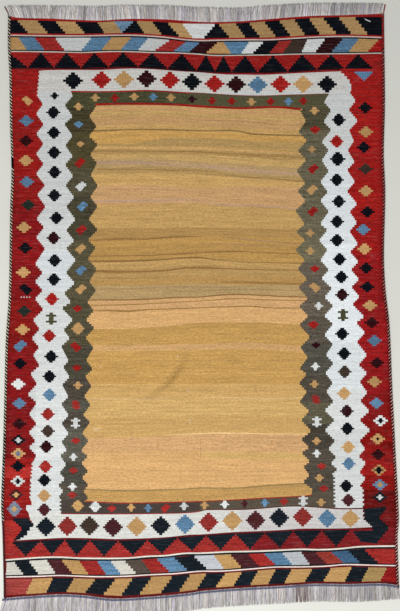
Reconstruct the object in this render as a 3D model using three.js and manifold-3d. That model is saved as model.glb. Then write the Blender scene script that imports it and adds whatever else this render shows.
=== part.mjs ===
import * as THREE from "three";
import { mergeVertices } from "three/addons/utils/BufferGeometryUtils.js";
import Module from "manifold-3d";

const wasm = await Module();
wasm.setup();

// Driving dimensions in millimetres
const tableStep = 4.1;
const panelThickness = 3;
const partGap = 0.6;
const cordWidth = 12.3;
const cordHeight = 5;
const looseWidth = 5;
const looseHeight = 3.4;
const topStripWidth = 5;
const bottomStripWidth = 8.6;
const stripThickness = 2.2;
const strandRootWidth = 5.6;
const strandTipWidth = 2.8;
const strandRootHeight = 2;
const strandTipHeight = 1.2;
const strandRootDepth = 3;
const strandsPerEnd = 150;
const outlineSamples = 64;

// Outline tables, in table steps across from the left and down from the top
const middle = { across: 199.75, down: 309.5 };
const leftEdge = [
  { down: 15, across: 8.4 },
  { down: 45, across: 8.0 },
  { down: 76, across: 9.5 },
  { down: 125, across: 10.2 },
  { down: 172, across: 11.6 },
  { down: 208, across: 10.4 },
  { down: 250, across: 9.8 },
  { down: 298, across: 8.8 },
  { down: 340, across: 6.0 },
  { down: 392, across: 4.6 },
  { down: 445, across: 3.3 },
  { down: 505, across: 1.3 },
  { down: 533, across: 2.5 },
  { down: 570, across: 3.5 },
  { down: 599, across: 3.8 },
];
const rightEdge = [
  { down: 12, across: 383.8 },
  { down: 45, across: 384.2 },
  { down: 105, across: 384.8 },
  { down: 155, across: 383.7 },
  { down: 194, across: 385.1 },
  { down: 257, across: 383.8 },
  { down: 291, across: 385.4 },
  { down: 326, across: 389.3 },
  { down: 388, across: 392.1 },
  { down: 450, across: 395.2 },
  { down: 518, across: 398.6 },
  { down: 540, across: 397.4 },
  { down: 588, across: 398.9 },
];
const topEdge = [
  { across: 6, down: 15.2 },
  { across: 18, down: 17.4 },
  { across: 50, down: 18.3 },
  { across: 75, down: 19.5 },
  { across: 100, down: 20.3 },
  { across: 128, down: 18.6 },
  { across: 165, down: 19.1 },
  { across: 203, down: 21.7 },
  { across: 240, down: 21.0 },
  { across: 272, down: 18.5 },
  { across: 308, down: 15.8 },
  { across: 345, down: 14.8 },
  { across: 388, down: 13.2 },
];
const bottomEdge = [
  { across: 0, down: 598.8 },
  { across: 26, down: 596.5 },
  { across: 62, down: 594.5 },
  { across: 85, down: 595.6 },
  { across: 113, down: 598.7 },
  { across: 151, down: 596.8 },
  { across: 186, down: 593.6 },
  { across: 206, down: 590.8 },
  { across: 251, down: 587.5 },
  { across: 280, down: 586.0 },
  { across: 313, down: 583.9 },
  { across: 350, down: 584.2 },
  { across: 382, down: 583.5 },
  { across: 402, down: 586.2 },
];

// Fringe tables: how far the strands reach, and how far their tips lie to one side
const topFringe = [
  { across: 8, reach: 11.6, lean: -4.6 },
  { across: 24, reach: 13.2, lean: -3.6 },
  { across: 44, reach: 13.6, lean: -1.4 },
  { across: 58, reach: 14.0, lean: 1.3 },
  { across: 100, reach: 15.0, lean: 0.2 },
  { across: 134, reach: 14.4, lean: -2.2 },
  { across: 150, reach: 14.4, lean: 0 },
  { across: 205, reach: 15.4, lean: 0.1 },
  { across: 240, reach: 14.2, lean: 0.4 },
  { across: 262, reach: 14.6, lean: 2.6 },
  { across: 300, reach: 13.6, lean: 1.6 },
  { across: 345, reach: 12.6, lean: 1.4 },
  { across: 384, reach: 10.8, lean: 2.4 },
];
const bottomFringe = [
  { across: 2, reach: 15.5, lean: -6.5 },
  { across: 14, reach: 17.5, lean: -4.2 },
  { across: 40, reach: 18.3, lean: -1.6 },
  { across: 90, reach: 18.3, lean: -0.2 },
  { across: 150, reach: 18.3, lean: 0.2 },
  { across: 205, reach: 17.8, lean: -0.1 },
  { across: 270, reach: 17.9, lean: 0.7 },
  { across: 345, reach: 17.9, lean: 0.1 },
  { across: 378, reach: 17.6, lean: 0.4 },
  { across: 400, reach: 13.4, lean: 2.2 },
];

// A smooth function through the rows of a table
function through(rows, from, to) {
  const last = rows.length - 1;
  const slope = (i, j) => (rows[j][to] - rows[i][to]) / (rows[j][from] - rows[i][from]);
  return (value) => {
    let i = 0;
    while (i < last - 1 && value > rows[i + 1][from]) i += 1;
    const a = rows[i];
    const b = rows[i + 1];
    const span = b[from] - a[from];
    const u = Math.min(1, Math.max(0, (value - a[from]) / span));
    const leave = slope(Math.max(i - 1, 0), i + 1) * span;
    const arrive = slope(i, Math.min(i + 2, last)) * span;
    const ease = u * u * (3 - 2 * u);
    const bend = u * (1 - u) * ((1 - u) * leave - u * arrive);
    return a[to] + (b[to] - a[to]) * ease + bend;
  };
}

const leftAt = through(leftEdge, "down", "across");
const rightAt = through(rightEdge, "down", "across");
const topAt = through(topEdge, "across", "down");
const bottomAt = through(bottomEdge, "across", "down");

const steps = (length) => length / tableStep;
const place = (across, down) =>
  new THREE.Vector2((across - middle.across) * tableStep, (middle.down - down) * tableStep);
const share = (from, to, part) => from + (to - from) * part;

// A steady stream of numbers between 0 and 1
function scatter(seed) {
  let state = seed;
  return () => {
    state = (state * 16807) % 2147483647;
    return state / 2147483647;
  };
}

// A closed body through rings of equally many points, each ring counted the same way round
function loft(rings) {
  const round = rings[0].length;
  const positions = rings.flat().flatMap((p) => [p.x, p.y, p.z]);
  const faces = [];
  for (let i = 0; i + 1 < rings.length; i += 1) {
    for (let j = 0; j < round; j += 1) {
      const k = (j + 1) % round;
      const near = i * round;
      const far = near + round;
      faces.push(near + j, near + k, far + k, near + j, far + k, far + j);
    }
  }
  const end = (rings.length - 1) * round;
  for (let j = 1; j + 1 < round; j += 1) {
    faces.push(0, j + 1, j, end, end + j, end + j + 1);
  }
  const geometry = new THREE.BufferGeometry();
  geometry.setAttribute("position", new THREE.Float32BufferAttribute(positions, 3));
  geometry.setIndex(faces);
  return geometry;
}

// A body that lies along a line on the floor, with a width, a height and a section at each place
function laid(stations, section) {
  const rings = stations.map((station, i) => {
    const before = stations[Math.max(i - 1, 0)].at;
    const after = stations[Math.min(i + 1, stations.length - 1)].at;
    const along = after.clone().sub(before).normalize();
    const side = new THREE.Vector2(-along.y, along.x);
    return section.map((corner) => {
      const at = station.at.clone().addScaledVector(side, corner.aside * station.width);
      return new THREE.Vector3(at.x, at.y, corner.up * station.height);
    });
  });
  return loft(rings);
}

function solidOf(geometry) {
  const bare = geometry.clone();
  bare.deleteAttribute("normal");
  bare.deleteAttribute("uv");
  const merged = mergeVertices(bare, 1e-4);
  return new wasm.Manifold(
    new wasm.Mesh({
      numProp: 3,
      vertProperties: new Float32Array(merged.attributes.position.array),
      triVerts: new Uint32Array(merged.index.array),
    }),
  );
}

function geometryOf(solid) {
  const mesh = solid.getMesh();
  const geometry = new THREE.BufferGeometry();
  geometry.setAttribute("position", new THREE.BufferAttribute(mesh.vertProperties, 3));
  geometry.setIndex(new THREE.BufferAttribute(mesh.triVerts, 1));
  const faceted = geometry.toNonIndexed();
  faceted.computeVertexNormals();
  return faceted;
}

const cordSection = [
  { aside: 0.3, up: 0 },
  { aside: 0.5, up: 0.36 },
  { aside: 0.42, up: 0.76 },
  { aside: 0.16, up: 1 },
  { aside: -0.16, up: 1 },
  { aside: -0.42, up: 0.76 },
  { aside: -0.5, up: 0.36 },
  { aside: -0.3, up: 0 },
];
const stripSection = [
  { aside: 0.5, up: 0 },
  { aside: 0.5, up: 1 },
  { aside: -0.5, up: 1 },
  { aside: -0.5, up: 0 },
];
const strandSection = [
  { aside: 0.5, up: 0 },
  { aside: 0, up: 1 },
  { aside: -0.5, up: 0 },
];

const panelStartLeft = steps(cordWidth + partGap);
const cornerDown = {
  topLeft: topAt(leftAt(16) + panelStartLeft),
  topRight: topAt(rightAt(14) - panelStartLeft),
  bottomLeft: bottomAt(leftAt(598) + panelStartLeft),
  bottomRight: bottomAt(rightAt(585) - panelStartLeft),
};

// Woven panel: a flat sheet inside the two edge cords
function wovenPanel() {
  const outline = [];
  const walk = (from, to, point) => {
    for (let i = 0; i < outlineSamples; i += 1) {
      outline.push(point(share(from, to, i / outlineSamples)));
    }
  };
  const innerLeft = (down) => leftAt(down) + panelStartLeft;
  const innerRight = (down) => rightAt(down) - panelStartLeft;
  walk(cornerDown.topLeft, cornerDown.bottomLeft, (d) => place(innerLeft(d), d));
  walk(innerLeft(cornerDown.bottomLeft), innerRight(cornerDown.bottomRight), (a) =>
    place(a, bottomAt(a)),
  );
  walk(cornerDown.bottomRight, cornerDown.topRight, (d) => place(innerRight(d), d));
  walk(innerRight(cornerDown.topRight), innerLeft(cornerDown.topLeft), (a) =>
    place(a, topAt(a)),
  );
  return new THREE.ExtrudeGeometry(new THREE.Shape(outline), {
    depth: panelThickness,
    bevelEnabled: false,
  });
}

// Edge cord: the overcast selvedge from the bottom corner up, then its loose end beside the fringe
function edgeCord(edgeAt, inward, bottomDown, topDown, loose) {
  const count = 60;
  const half = steps(cordWidth) / 2;
  const stations = [];
  for (let i = 0; i <= count; i += 1) {
    const down = share(bottomDown, topDown, i / count);
    stations.push({
      at: place(edgeAt(down) + inward * half, down),
      width: cordWidth,
      height: cordHeight,
    });
  }
  for (const stop of loose) {
    stations.push({
      at: place(stop.across, stop.down),
      width: share(cordWidth, looseWidth, stop.thin),
      height: share(cordHeight, looseHeight, stop.thin),
    });
  }
  return laid(stations, cordSection);
}

const leftLoose = [
  { across: 9.2, down: 15.2, thin: 0.55 },
  { across: 8.1, down: 13.2, thin: 0.9 },
  { across: 6.6, down: 10, thin: 1 },
  { across: 5.0, down: 6.6, thin: 1 },
];
const rightLoose = [
  { across: 382.9, down: 13.4, thin: 0.55 },
  { across: 383.8, down: 11.4, thin: 0.9 },
  { across: 384.5, down: 8, thin: 1 },
  { across: 385.1, down: 4.6, thin: 1 },
];

// Fringe: a narrow root strip along a woven end, with single strands that lie flat and apart
function fringe(end) {
  const stripSpan = 46;
  const stations = [];
  for (let i = 0; i <= stripSpan; i += 1) {
    const across = share(end.from, end.to, i / stripSpan);
    const off = steps(partGap + end.stripWidth / 2) * end.outward;
    stations.push({
      at: place(across, end.edgeAt(across) + off),
      width: end.stripWidth,
      height: stripThickness,
    });
  }
  const reachAt = through(end.table, "across", "reach");
  const leanAt = through(end.table, "across", "lean");
  const next = scatter(end.seed);
  let body = solidOf(laid(stations, stripSection));
  const inset = steps(strandRootWidth);
  for (let i = 0; i < strandsPerEnd; i += 1) {
    const part = i / (strandsPerEnd - 1);
    const root = share(end.from + inset, end.to - inset, part);
    const edge = end.edgeAt(root) + steps(partGap + end.stripWidth) * end.outward;
    const rootDown = edge - steps(strandRootDepth) * end.outward;
    const reach = (reachAt(root) - steps(end.stripWidth)) * (0.94 + 0.09 * next());
    const sway = 0.5 * Math.sin(root * 0.37 + end.seed) + 0.4 * (next() - 0.5);
    const lean = leanAt(root) + sway;
    const stops = [
      { go: 0, aside: 0, grown: 0 },
      { go: 0.55, aside: 0.42, grown: 0.5 },
      { go: 1, aside: 1, grown: 1 },
    ];
    const strand = stops.map((stop) => ({
      at: place(root + lean * stop.aside, share(rootDown, edge + reach * end.outward, stop.go)),
      width: share(strandRootWidth, strandTipWidth, stop.grown),
      height: share(strandRootHeight, strandTipHeight, stop.grown),
    }));
    body = body.add(solidOf(laid(strand, strandSection)));
  }
  return geometryOf(body);
}

const topEnd = {
  table: topFringe,
  edgeAt: topAt,
  outward: -1,
  stripWidth: topStripWidth,
  from: 11.1,
  to: 381.2,
  seed: 11,
};
const bottomEnd = {
  table: bottomFringe,
  edgeAt: bottomAt,
  outward: 1,
  stripWidth: bottomStripWidth,
  from: 3.2,
  to: 399.4,
  seed: 29,
};

// Each part in its own colour
const group = new THREE.Group();
function add(name, geometry, color, roughness) {
  const material = new THREE.MeshStandardMaterial({ color, roughness, metalness: 0 });
  const mesh = new THREE.Mesh(geometry, material);
  mesh.name = name;
  group.add(mesh);
}

add("woven_panel", wovenPanel(), 0xb08a55, 0.95);
add(
  "selvedge_left",
  edgeCord(leftAt, 1, bottomAt(leftAt(598) + steps(cordWidth)), 17.4, leftLoose),
  0x2a201c,
  0.9,
);
add(
  "selvedge_right",
  edgeCord(rightAt, -1, bottomAt(rightAt(585) - steps(cordWidth)), 15.4, rightLoose),
  0x2a1618,
  0.9,
);
add("fringe_top", fringe(topEnd), 0xc8c2c4, 0.95);
add("fringe_bottom", fringe(bottomEnd), 0xc4bdbc, 0.95);

// The rug's own middle over the origin
const bounds = new THREE.Box3().setFromObject(group);
const centre = bounds.getCenter(new THREE.Vector3());
for (const mesh of group.children) mesh.position.set(-centre.x, -centre.y, 0);

export default group;
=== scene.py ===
import math
import random
import bpy
import bmesh
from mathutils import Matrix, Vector
from mathutils.geometry import delaunay_2d_cdt


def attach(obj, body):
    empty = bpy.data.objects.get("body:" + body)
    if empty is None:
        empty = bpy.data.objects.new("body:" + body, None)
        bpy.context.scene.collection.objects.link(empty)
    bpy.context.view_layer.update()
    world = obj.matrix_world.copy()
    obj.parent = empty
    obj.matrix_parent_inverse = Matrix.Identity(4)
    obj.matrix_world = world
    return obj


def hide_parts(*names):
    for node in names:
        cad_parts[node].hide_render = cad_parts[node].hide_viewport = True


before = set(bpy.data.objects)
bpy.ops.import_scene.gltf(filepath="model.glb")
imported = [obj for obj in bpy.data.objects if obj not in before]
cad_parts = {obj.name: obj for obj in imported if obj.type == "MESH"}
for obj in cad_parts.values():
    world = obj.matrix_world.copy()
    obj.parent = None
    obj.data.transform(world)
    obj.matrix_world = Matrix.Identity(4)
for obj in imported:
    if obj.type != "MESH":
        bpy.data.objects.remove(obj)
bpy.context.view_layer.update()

print("kilim: frame loaded")

# Rug chart: across runs to the right and down runs from the upper fringe to the lower one.
# One step is one count of the pattern, in millimetres.
rug = {"step": 4.1, "midAcross": 199.75, "midDown": 309.5, "moveX": 2.11, "moveY": 0.55}


def place(across, down, up=0.0):
    x = ((across - rug["midAcross"]) * rug["step"] + rug["moveX"]) / 1000
    y = ((rug["midDown"] - down) * rug["step"] + rug["moveY"]) / 1000
    return Vector((x, y, up))


def through(rows, at):
    # a smooth line through a two-column table
    last = len(rows) - 1
    i = 0
    while i < last - 1 and at > rows[i + 1][0]:
        i += 1
    a, b = rows[i], rows[i + 1]
    before, after = rows[max(0, i - 1)], rows[min(last, i + 2)]
    span = b[0] - a[0]
    u = min(1, max(0, (at - a[0]) / span))
    leave = (b[1] - before[1]) / (b[0] - before[0]) * span
    arrive = (after[1] - a[1]) / (after[0] - a[0]) * span
    return a[1] + (b[1] - a[1]) * u * u * (3 - 2 * u) + u * (1 - u) * ((1 - u) * leave - u * arrive)


leftEdge = [(15, 8.4), (45, 8.0), (76, 9.5), (125, 10.2), (172, 11.6), (208, 10.4), (250, 9.8), (298, 8.8),
            (340, 6.0), (392, 4.6), (445, 3.3), (505, 1.3), (533, 2.5), (570, 3.5), (599, 3.8)]
rightEdge = [(12, 383.8), (45, 384.2), (105, 384.8), (155, 383.7), (194, 385.1), (257, 383.8),
             (291, 385.4), (326, 389.3), (388, 392.1), (450, 395.2), (518, 398.6), (540, 397.4),
             (588, 398.9)]
topEdge = [(6, 15.2), (18, 17.4), (50, 18.3), (75, 19.5), (100, 20.3), (128, 18.6), (165, 19.1),
           (203, 21.7), (240, 21.0), (272, 18.5), (308, 15.8), (345, 14.8), (388, 13.2)]
bottomEdge = [(0, 598.8), (26, 596.5), (62, 594.5), (85, 595.6), (113, 598.7), (151, 596.8), (186, 593.6),
              (206, 590.8), (251, 587.5), (280, 586.0), (313, 583.9), (350, 584.2), (382, 583.5),
              (402, 586.2)]
cordGap = 2.25  # the overcast cords take this much of each side

# soft diagonal crease low in the field: part of a ring; its shaded side is painted shade and its light side
# painted light, darkening and lightening the dye
crease = {
    "across": 118, "down": 330, "spotAcross": 169, "spotDown": 378, "spotSize": 23,
    "ridge": (69, 4), "shade": (73.3, 2.5), "light": (65, 4.5), "darker": 0.36, "lighter": 0.08,
    "arc": (0.25, 1.3, 0.055), "rings": (65, 81, 2),  # first, last and gap of the finer spots on it
}
heights = {"cloth": 0.0009, "swell": 0.0003, "ripple": 0.0003, "crease": 0.0018}  # in metres


def creased(across, down, reach, soft):
    # strength of the crease at one spot
    away = math.hypot(across - crease["across"], down - crease["down"])
    fromSpot = math.hypot(across - crease["spotAcross"], down - crease["spotDown"])
    return math.exp(-((away - reach) / soft) ** 2 - (fromSpot / crease["spotSize"]) ** 2)


def lift(across, down):
    # the cloth lies nearly flat, with slow swells of about a millimetre
    swell = math.sin(across / 41 + down / 97) + math.sin(across / 83 - down / 59 + 1.3)
    edge = max(0, abs(across - 197) - 150) / 45
    ripple = math.sin(down / 17 + (2 if across > 200 else 0)) * edge
    up = heights["cloth"] + heights["swell"] * swell + heights["ripple"] * ripple
    return up + heights["crease"] * creased(across, down, *crease["ridge"])


# dyes
dyes = {  # red, green, blue, and how streaky the wool is
    "red": (148, 24, 20, 1), "redDeep": (136, 24, 23, 1), "redWarm": (146, 38, 34, 0.9),
    "redSoft": (132, 42, 38, 0.9), "redRust": (146, 58, 53, 0.9), "redDark": (92, 18, 20, 0.6),
    "black": (6, 10, 18, 0.5), "blackLow": (16, 24, 31, 0.6), "ivory": (202, 205, 203, 0.22),
    "ivoryWarm": (206, 202, 190, 0.3), "ivoryDull": (190, 187, 177, 0.3),
    "ivoryCool": (180, 184, 188, 0.3), "blueDull": (98, 126, 150, 0.8), "tanTop": (172, 138, 92, 0.5),
    "tan": (184, 144, 93, 0.4), "tanDull": (150, 123, 78, 0.5), "tanLow": (174, 136, 86, 0.5),
    "blue": (86, 121, 150, 0.8), "blueDeep": (60, 92, 122, 0.8), "blueGrey": (112, 120, 136, 0.6),
    "maroon": (42, 7, 12, 0.8), "maroonLow": (66, 28, 32, 0.8), "olive": (72, 71, 47, 1.1),
    "oliveBrown": (57, 45, 37, 0.6), "oliveGrey": (75, 66, 58, 0.6), "orange": (148, 54, 44, 0.9),
    "green": (30, 40, 33, 0.6), "pinkWhite": (214, 190, 182, 0.3), "redPeak": (156, 30, 27, 1),
    "plum": (40, 10, 16, 0.6), "redLine": (132, 26, 24, 1), "redLowLeft": (152, 42, 38, 1),
    "redLowRight": (113, 24, 27, 1), "pinkCream": (220, 204, 196, 0.3), "rust": (136, 44, 36, 0.8),
    "ivoryTop": (203, 201, 196, 0.22), "ivoryLow": (204, 204, 199, 0.22),
    "ivoryLowRight": (193, 190, 188, 0.22), "ivoryCold": (224, 229, 231, 0.22),
    "oliveTop": (84, 81, 57, 0.45), "oliveLow": (68, 59, 54, 0.45), "oliveLowRight": (82, 74, 62, 0.45),
    "oliveMoss": (74, 67, 42, 1.1), "oliveEarth": (88, 82, 60, 1.1), "oliveSmoke": (82, 79, 69, 1.1),
    "oliveClay": (76, 69, 59, 1.1), "oliveLight": (104, 98, 77, 1.1), "madder": (150, 24, 21, 1),
    "madderDeep": (124, 18, 20, 1), "madderWorn": (160, 41, 36, 1), "madderBrown": (100, 12, 9, 1),
    "gold": (196, 157, 97, 0.45), "goldPale": (207, 163, 108, 0.45), "goldDeep": (182, 142, 81, 0.45),
    "goldDull": (178, 145, 91, 0.45), "goldRose": (196, 154, 106, 0.45), "goldGrey": (166, 138, 94, 0.45),
    "pinkGrey": (183, 150, 125, 0.45), "goldShade": (148, 111, 64, 0.45),
    "goldWhite": (214, 177, 124, 0.45), "goldBrown": (158, 124, 74, 0.45), "straw": (210, 188, 142, 0.45),
}
shapes = []  # each is a colour, its points and the shape that it stays inside
chance = random.Random(7)


def shape(dye, points, within=0, vary=0.05, tone=1.0):
    red, green, blue, streaky = dyes[dye]
    tone *= 1 + chance.uniform(-vary, vary)
    shapes.append(([red * tone, green * tone, blue * tone, streaky], points, within))
    return len(shapes) - 1


def samples(start, end, gap=5.0):
    count = max(1, round(abs(end - start) / gap))
    return [start + (end - start) * i / count for i in range(count + 1)]


def ruled(rows, start, end, drop=0.0):
    return [(a, through(rows, a) + drop) for a in samples(start, end)]


def strip(dye, rows, start, end, top, bottom, within=0, vary=0.05):
    # a thin woven line that follows a table
    above = ruled(rows, start, end, top)
    below = ruled(rows, start, end, bottom)
    return shape(dye, above + below[::-1], within, vary)


def stair(start, end, count, jitter=0.0):
    # stepped edge of a tapestry figure
    points = []
    for i in range(count):
        a = start[0] + (end[0] - start[0]) * (i + 0.5) / count + chance.uniform(-jitter, jitter)
        points += [(a, start[1] + (end[1] - start[1]) * k / count) for k in (i, i + 1)]
    return points


# outline
topLeft, topRight = through(leftEdge, 17) + cordGap, through(rightEdge, 17) - cordGap
lowLeft, lowRight = through(leftEdge, 597) + cordGap, through(rightEdge, 588) - cordGap
ring = [(a, through(topEdge, a)) for a in samples(topRight, topLeft, 6)]
ring += [(through(leftEdge, d) + cordGap, d) for d in samples(through(topEdge, 12) + 4, 594, 9)]
ring += [(a, through(bottomEdge, a)) for a in samples(lowLeft, lowRight, 6)]
ring += [(through(rightEdge, d) - cordGap, d) for d in samples(580, through(topEdge, 380) + 4, 9)]
cloth = shape("red", ring, None, 0)


def lotsDown(start, end, low, rows, within, vary, slope=0):
    # slow changes of one ground, woven from several dye lots: height, dye and tone
    for (down, dye, tone), (bottom, *_) in zip(rows, rows[1:] + [(low,)]):
        quad = [(start, down), (end, down + slope), (end, bottom + slope), (start, bottom)]
        shape(dye, quad, within, vary, tone)


lotsDown(0, 60, 600, [  # left red border
    (60, "madder", 1.0), (84, "madder", 0.99), (118, "madder", 0.95), (140, "madder", 0.98),
    (176, "madder", 0.92), (205, "madderDeep", 1.05), (236, "madderDeep", 1.1),
    (268, "madderDeep", 1.04), (300, "madder", 0.88), (330, "madder", 0.84), (352, "madderDeep", 1.05),
    (398, "madderDeep", 0.96), (420, "madderDeep", 1.01), (438, "madderDeep", 0.94),
    (458, "madder", 0.95), (467, "madderWorn", 1.06), (478, "madder", 0.9), (505, "madderDeep", 1.02),
    (520, "madderWorn", 1.0), (538, "madderWorn", 0.96)
], cloth, 0.02, -1)
lotsDown(330, 400, 600, [  # right red border
    (60, "madder", 1.07), (84, "madder", 1.03), (110, "madder", 1.06), (150, "madder", 1.02),
    (190, "madder", 1.07), (215, "madder", 1.01), (250, "madderDeep", 1.18), (270, "madderDeep", 1.14),
    (318, "madderDeep", 1.18), (360, "madderDeep", 1.11), (392, "madder", 0.86),
    (420, "madderBrown", 1.24), (446, "madder", 0.9), (458, "madder", 0.99), (474, "madderBrown", 1.28),
    (488, "madderBrown", 0.98), (508, "madder", 0.74), (540, "madder", 0.92)
], cloth, 0.02, 3)

# upper end bands
topLines = {
    "two": [(8, 20.2), (38, 20.8), (76, 22.1), (115, 21.4), (153, 21.8), (185, 24), (217, 24.1),
            (243, 23.1), (265, 21.6), (294, 19.4), (324, 17.6), (357, 17.2), (385, 17.2)],
    "three": [(8, 33.4), (57, 34), (83, 34), (127, 33.3), (147, 34), (166, 35.5), (185, 37.7), (200, 38.7),
              (217, 38.3), (250, 37.9), (270, 37.8), (297, 36.2), (324, 34.8), (350, 34.6), (385, 35.8)],
    "five": [(8, 50), (32, 50.2), (57, 50.6), (83, 51.1), (108, 50.2), (128, 50.2), (153, 51.1),
             (179, 51.6), (200, 52.8), (212, 54), (244, 53.8), (270, 53.5), (297, 52.7), (324, 52.4),
             (350, 52.2), (385, 51.6)],
    "six": [(8, 67.7), (51, 67.7), (96, 68), (121, 66.5), (153, 67.6), (182, 69.8), (215, 71.6), (244, 72),
            (270, 71.9), (297, 70.9), (324, 68.9), (364, 68.7), (385, 68.7)],
    "eight": [(39, 71.2), (46, 70.5), (71, 70.2), (102, 70.2), (128, 68.8), (153, 69.5), (179, 71.4),
              (200, 72.6), (215, 74), (230, 74.8), (244, 74.8), (255, 75.1), (270, 74.8), (297, 73.4),
              (324, 72.2), (345, 71.4)],
    "nine": [(60, 91), (71, 91.1), (102, 91.4), (128, 90.7), (147, 90.2), (166, 91.1), (185, 92.4),
             (200, 93), (225, 94.6), (245, 95.6), (262, 95.8), (289, 94.9), (325, 93.8), (335, 93.6)],
    "eleven": [(88, 104.2), (96, 104), (115, 103.4), (134, 103.3), (159, 103.5), (179, 104.3),
               (200, 105.8), (220, 106.8), (243, 107.6), (276, 106.5), (304, 109)],
}
lowLines = {
    "fieldEnd": [(80, 500.4), (88, 500.8), (125, 502.4), (160, 501.8), (200, 500.7), (235, 499.2),
                 (265, 497.4), (300, 495.6), (318, 493.8)],
    "oliveEnd": [(50, 513.4), (62, 513.2), (115, 513.4), (172, 512.7), (199, 511.2), (202, 509.4),
                 (245, 508.9), (280, 506.2), (298, 505.6), (340, 508.3), (366, 508)],
    "ivoryEnd": [(8, 540.6), (40, 538.8), (65, 537.6), (100, 538.2), (115, 538.8), (150, 537.8),
                 (170, 536.6), (190, 534.4), (200, 534.2), (235, 531.8), (260, 530.8), (290, 529.2),
                 (300, 528.4), (330, 528.3), (350, 527.9), (376, 526.6)],
    "three": [(4, 541.8), (40, 540.2), (65, 539), (100, 539.6), (115, 540.2), (150, 539.2), (190, 535.8),
              (235, 533.2), (260, 532.2), (300, 529.8), (330, 529.7), (350, 529.3), (398, 527.8)],
    "four": [(4, 559.2), (38, 556.7), (60, 556.2), (80, 557.2), (125, 557.2), (150, 555.2), (165, 554.7),
             (185, 552.3), (200, 552.2), (230, 550.8), (250, 550.4), (275, 549.5), (300, 548.3),
             (320, 548.7), (340, 547.7), (360, 545.7), (398, 545)],
    "six": [(4, 575), (40, 574.2), (60, 573.4), (95, 574.6), (125, 574.2), (150, 572.7), (175, 571.6),
            (200, 569.2), (220, 569.1), (250, 567), (275, 565), (300, 564.8), (325, 564.1), (345, 562.5),
            (375, 563.2), (398, 563.6)],
    "seven": [(4, 595.2), (30, 593.6), (62, 591.8), (85, 592.8), (113, 595.6), (151, 593.8), (186, 590.8),
              (206, 588.1), (251, 584.9), (280, 583.4), (313, 581.4), (350, 581.6), (382, 581),
              (402, 582.6)],
}


def slantBand(topRows, topDrop, lowRows, lowDrop, rows, start=(4, 4)):
    # slanted figures side by side: dye, then the right edge at the top and at the bottom
    left = start
    for dye, *right in rows:
        edges = []
        for topAcross, lowAcross in (left, right):
            top = (topAcross, through(topRows, topAcross) + topDrop)
            low = (lowAcross, through(lowRows, lowAcross) + lowDrop)
            edges.append(stair(top, low, 5, 0.2))
        shape(dye, edges[0] + edges[1][::-1], cloth, 0.06)
        left = [across - 0.2 for across in right]


# ground under the slanted figures keeps small gaps from showing red
strip("black", topLines["two"], 8, 385, 0, 13, cloth)
slantBand(topLines["two"], 0, topLines["three"], 0, [
    ("black", 17.2, 29.2), ("tanTop", 37.2, 48.7), ("black", 55.2, 66.7), ("tanTop", 75.2, 85.7),
    ("black", 97.2, 105), ("tanTop", 114.3, 122.6), ("blueDull", 134.2, 122), ("black", 136.6, 145.2),
    ("tanTop", 152.2, 162.3), ("black", 167.3, 180.2), ("tanTop", 182.2, 193.3), ("ivory", 215.8, 203.4),
    ("black", 218.2, 230.2), ("tanTop", 235.2, 245.8), ("black", 248.8, 260.8), ("tanTop", 264, 276.7),
    ("black", 279, 291.2), ("tanTop", 294, 305.7), ("black", 308.6, 320.8), ("tanTop", 322.2, 337.2),
    ("black", 338.2, 352.2), ("tanTop", 354.2, 368.2), ("black", 388, 388),
])
strip("red", topLines["three"], 8, 385, 0, 1.6, cloth)
strip("pinkWhite", topLines["three"], 8, 385, 1.5, 2.8, cloth)
strip("black", topLines["three"], 8, 385, 2.8, 4.3, cloth)

slantBand(topLines["three"], 4.1, topLines["five"], 0, [
    ("tan", 18.7, 27), ("blue", 34.6, 45.4), ("redWarm", 55, 65.3), ("ivory", 92.2, 81.2),
    ("blue", 112.2, 101.4), ("tan", 132.2, 121), ("blue", 149, 138), ("ivory", 170.6, 154.3),
    ("redWarm", 186.6, 173.5), ("blue", 200.2, 189.3), ("maroon", 218.4, 205.8), ("tan", 223.8, 231.6),
    ("blue", 249.4, 241.2), ("ivory", 264, 252.4), ("black", 279, 269.6), ("redWarm", 292.2, 282.8),
    ("oliveBrown", 307.7, 301.6), ("ivory", 325.5, 315.2), ("maroon", 343.7, 331.2),
    ("blue", 358.9, 348.6), ("tan", 379.2, 367.4), ("red", 388, 388),
])
strip("black", topLines["five"], 8, 385, 0, 1.1, cloth)
strip("ivoryWarm", topLines["five"], 8, 385, 1.1, 2.3, cloth)

peaks = [8, 41, 66.5, 94.5, 123, 152, 182, 206, 223.5, 245, 273, 302, 331, 358]
dips = [-6, 28, 54, 81, 108.5, 138, 167.5, 196.5, 215, 231.5, 257.5, 287.5, 316.5, 344, 372.6]
strip("redPeak", topLines["five"], 8, 385, 2.15, 21, cloth)
for i, peak in enumerate(peaks):
    top = through(topLines["five"], peak) + 2.8
    left, right = ((d, through(topLines["six"], d) + 0.3) for d in (dips[i] - 0.3, dips[i + 1] + 0.3))
    slopes = stair(left, (peak - 0.6, top), 6, 0.15) + stair((peak + 0.6, top), right, 6, 0.15)
    shape("black", slopes, cloth, 0.1)
shape("blue", stair((353.5, 71.8), (364, 81), 5) + stair((364, 81), (373.5, 71.8), 5), cloth)
strip("plum", topLines["six"], 8, 340, 0.1, 1.3, cloth)
strip("redLine", topLines["six"], 8, 340, 1.3, 2.6, cloth)

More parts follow.
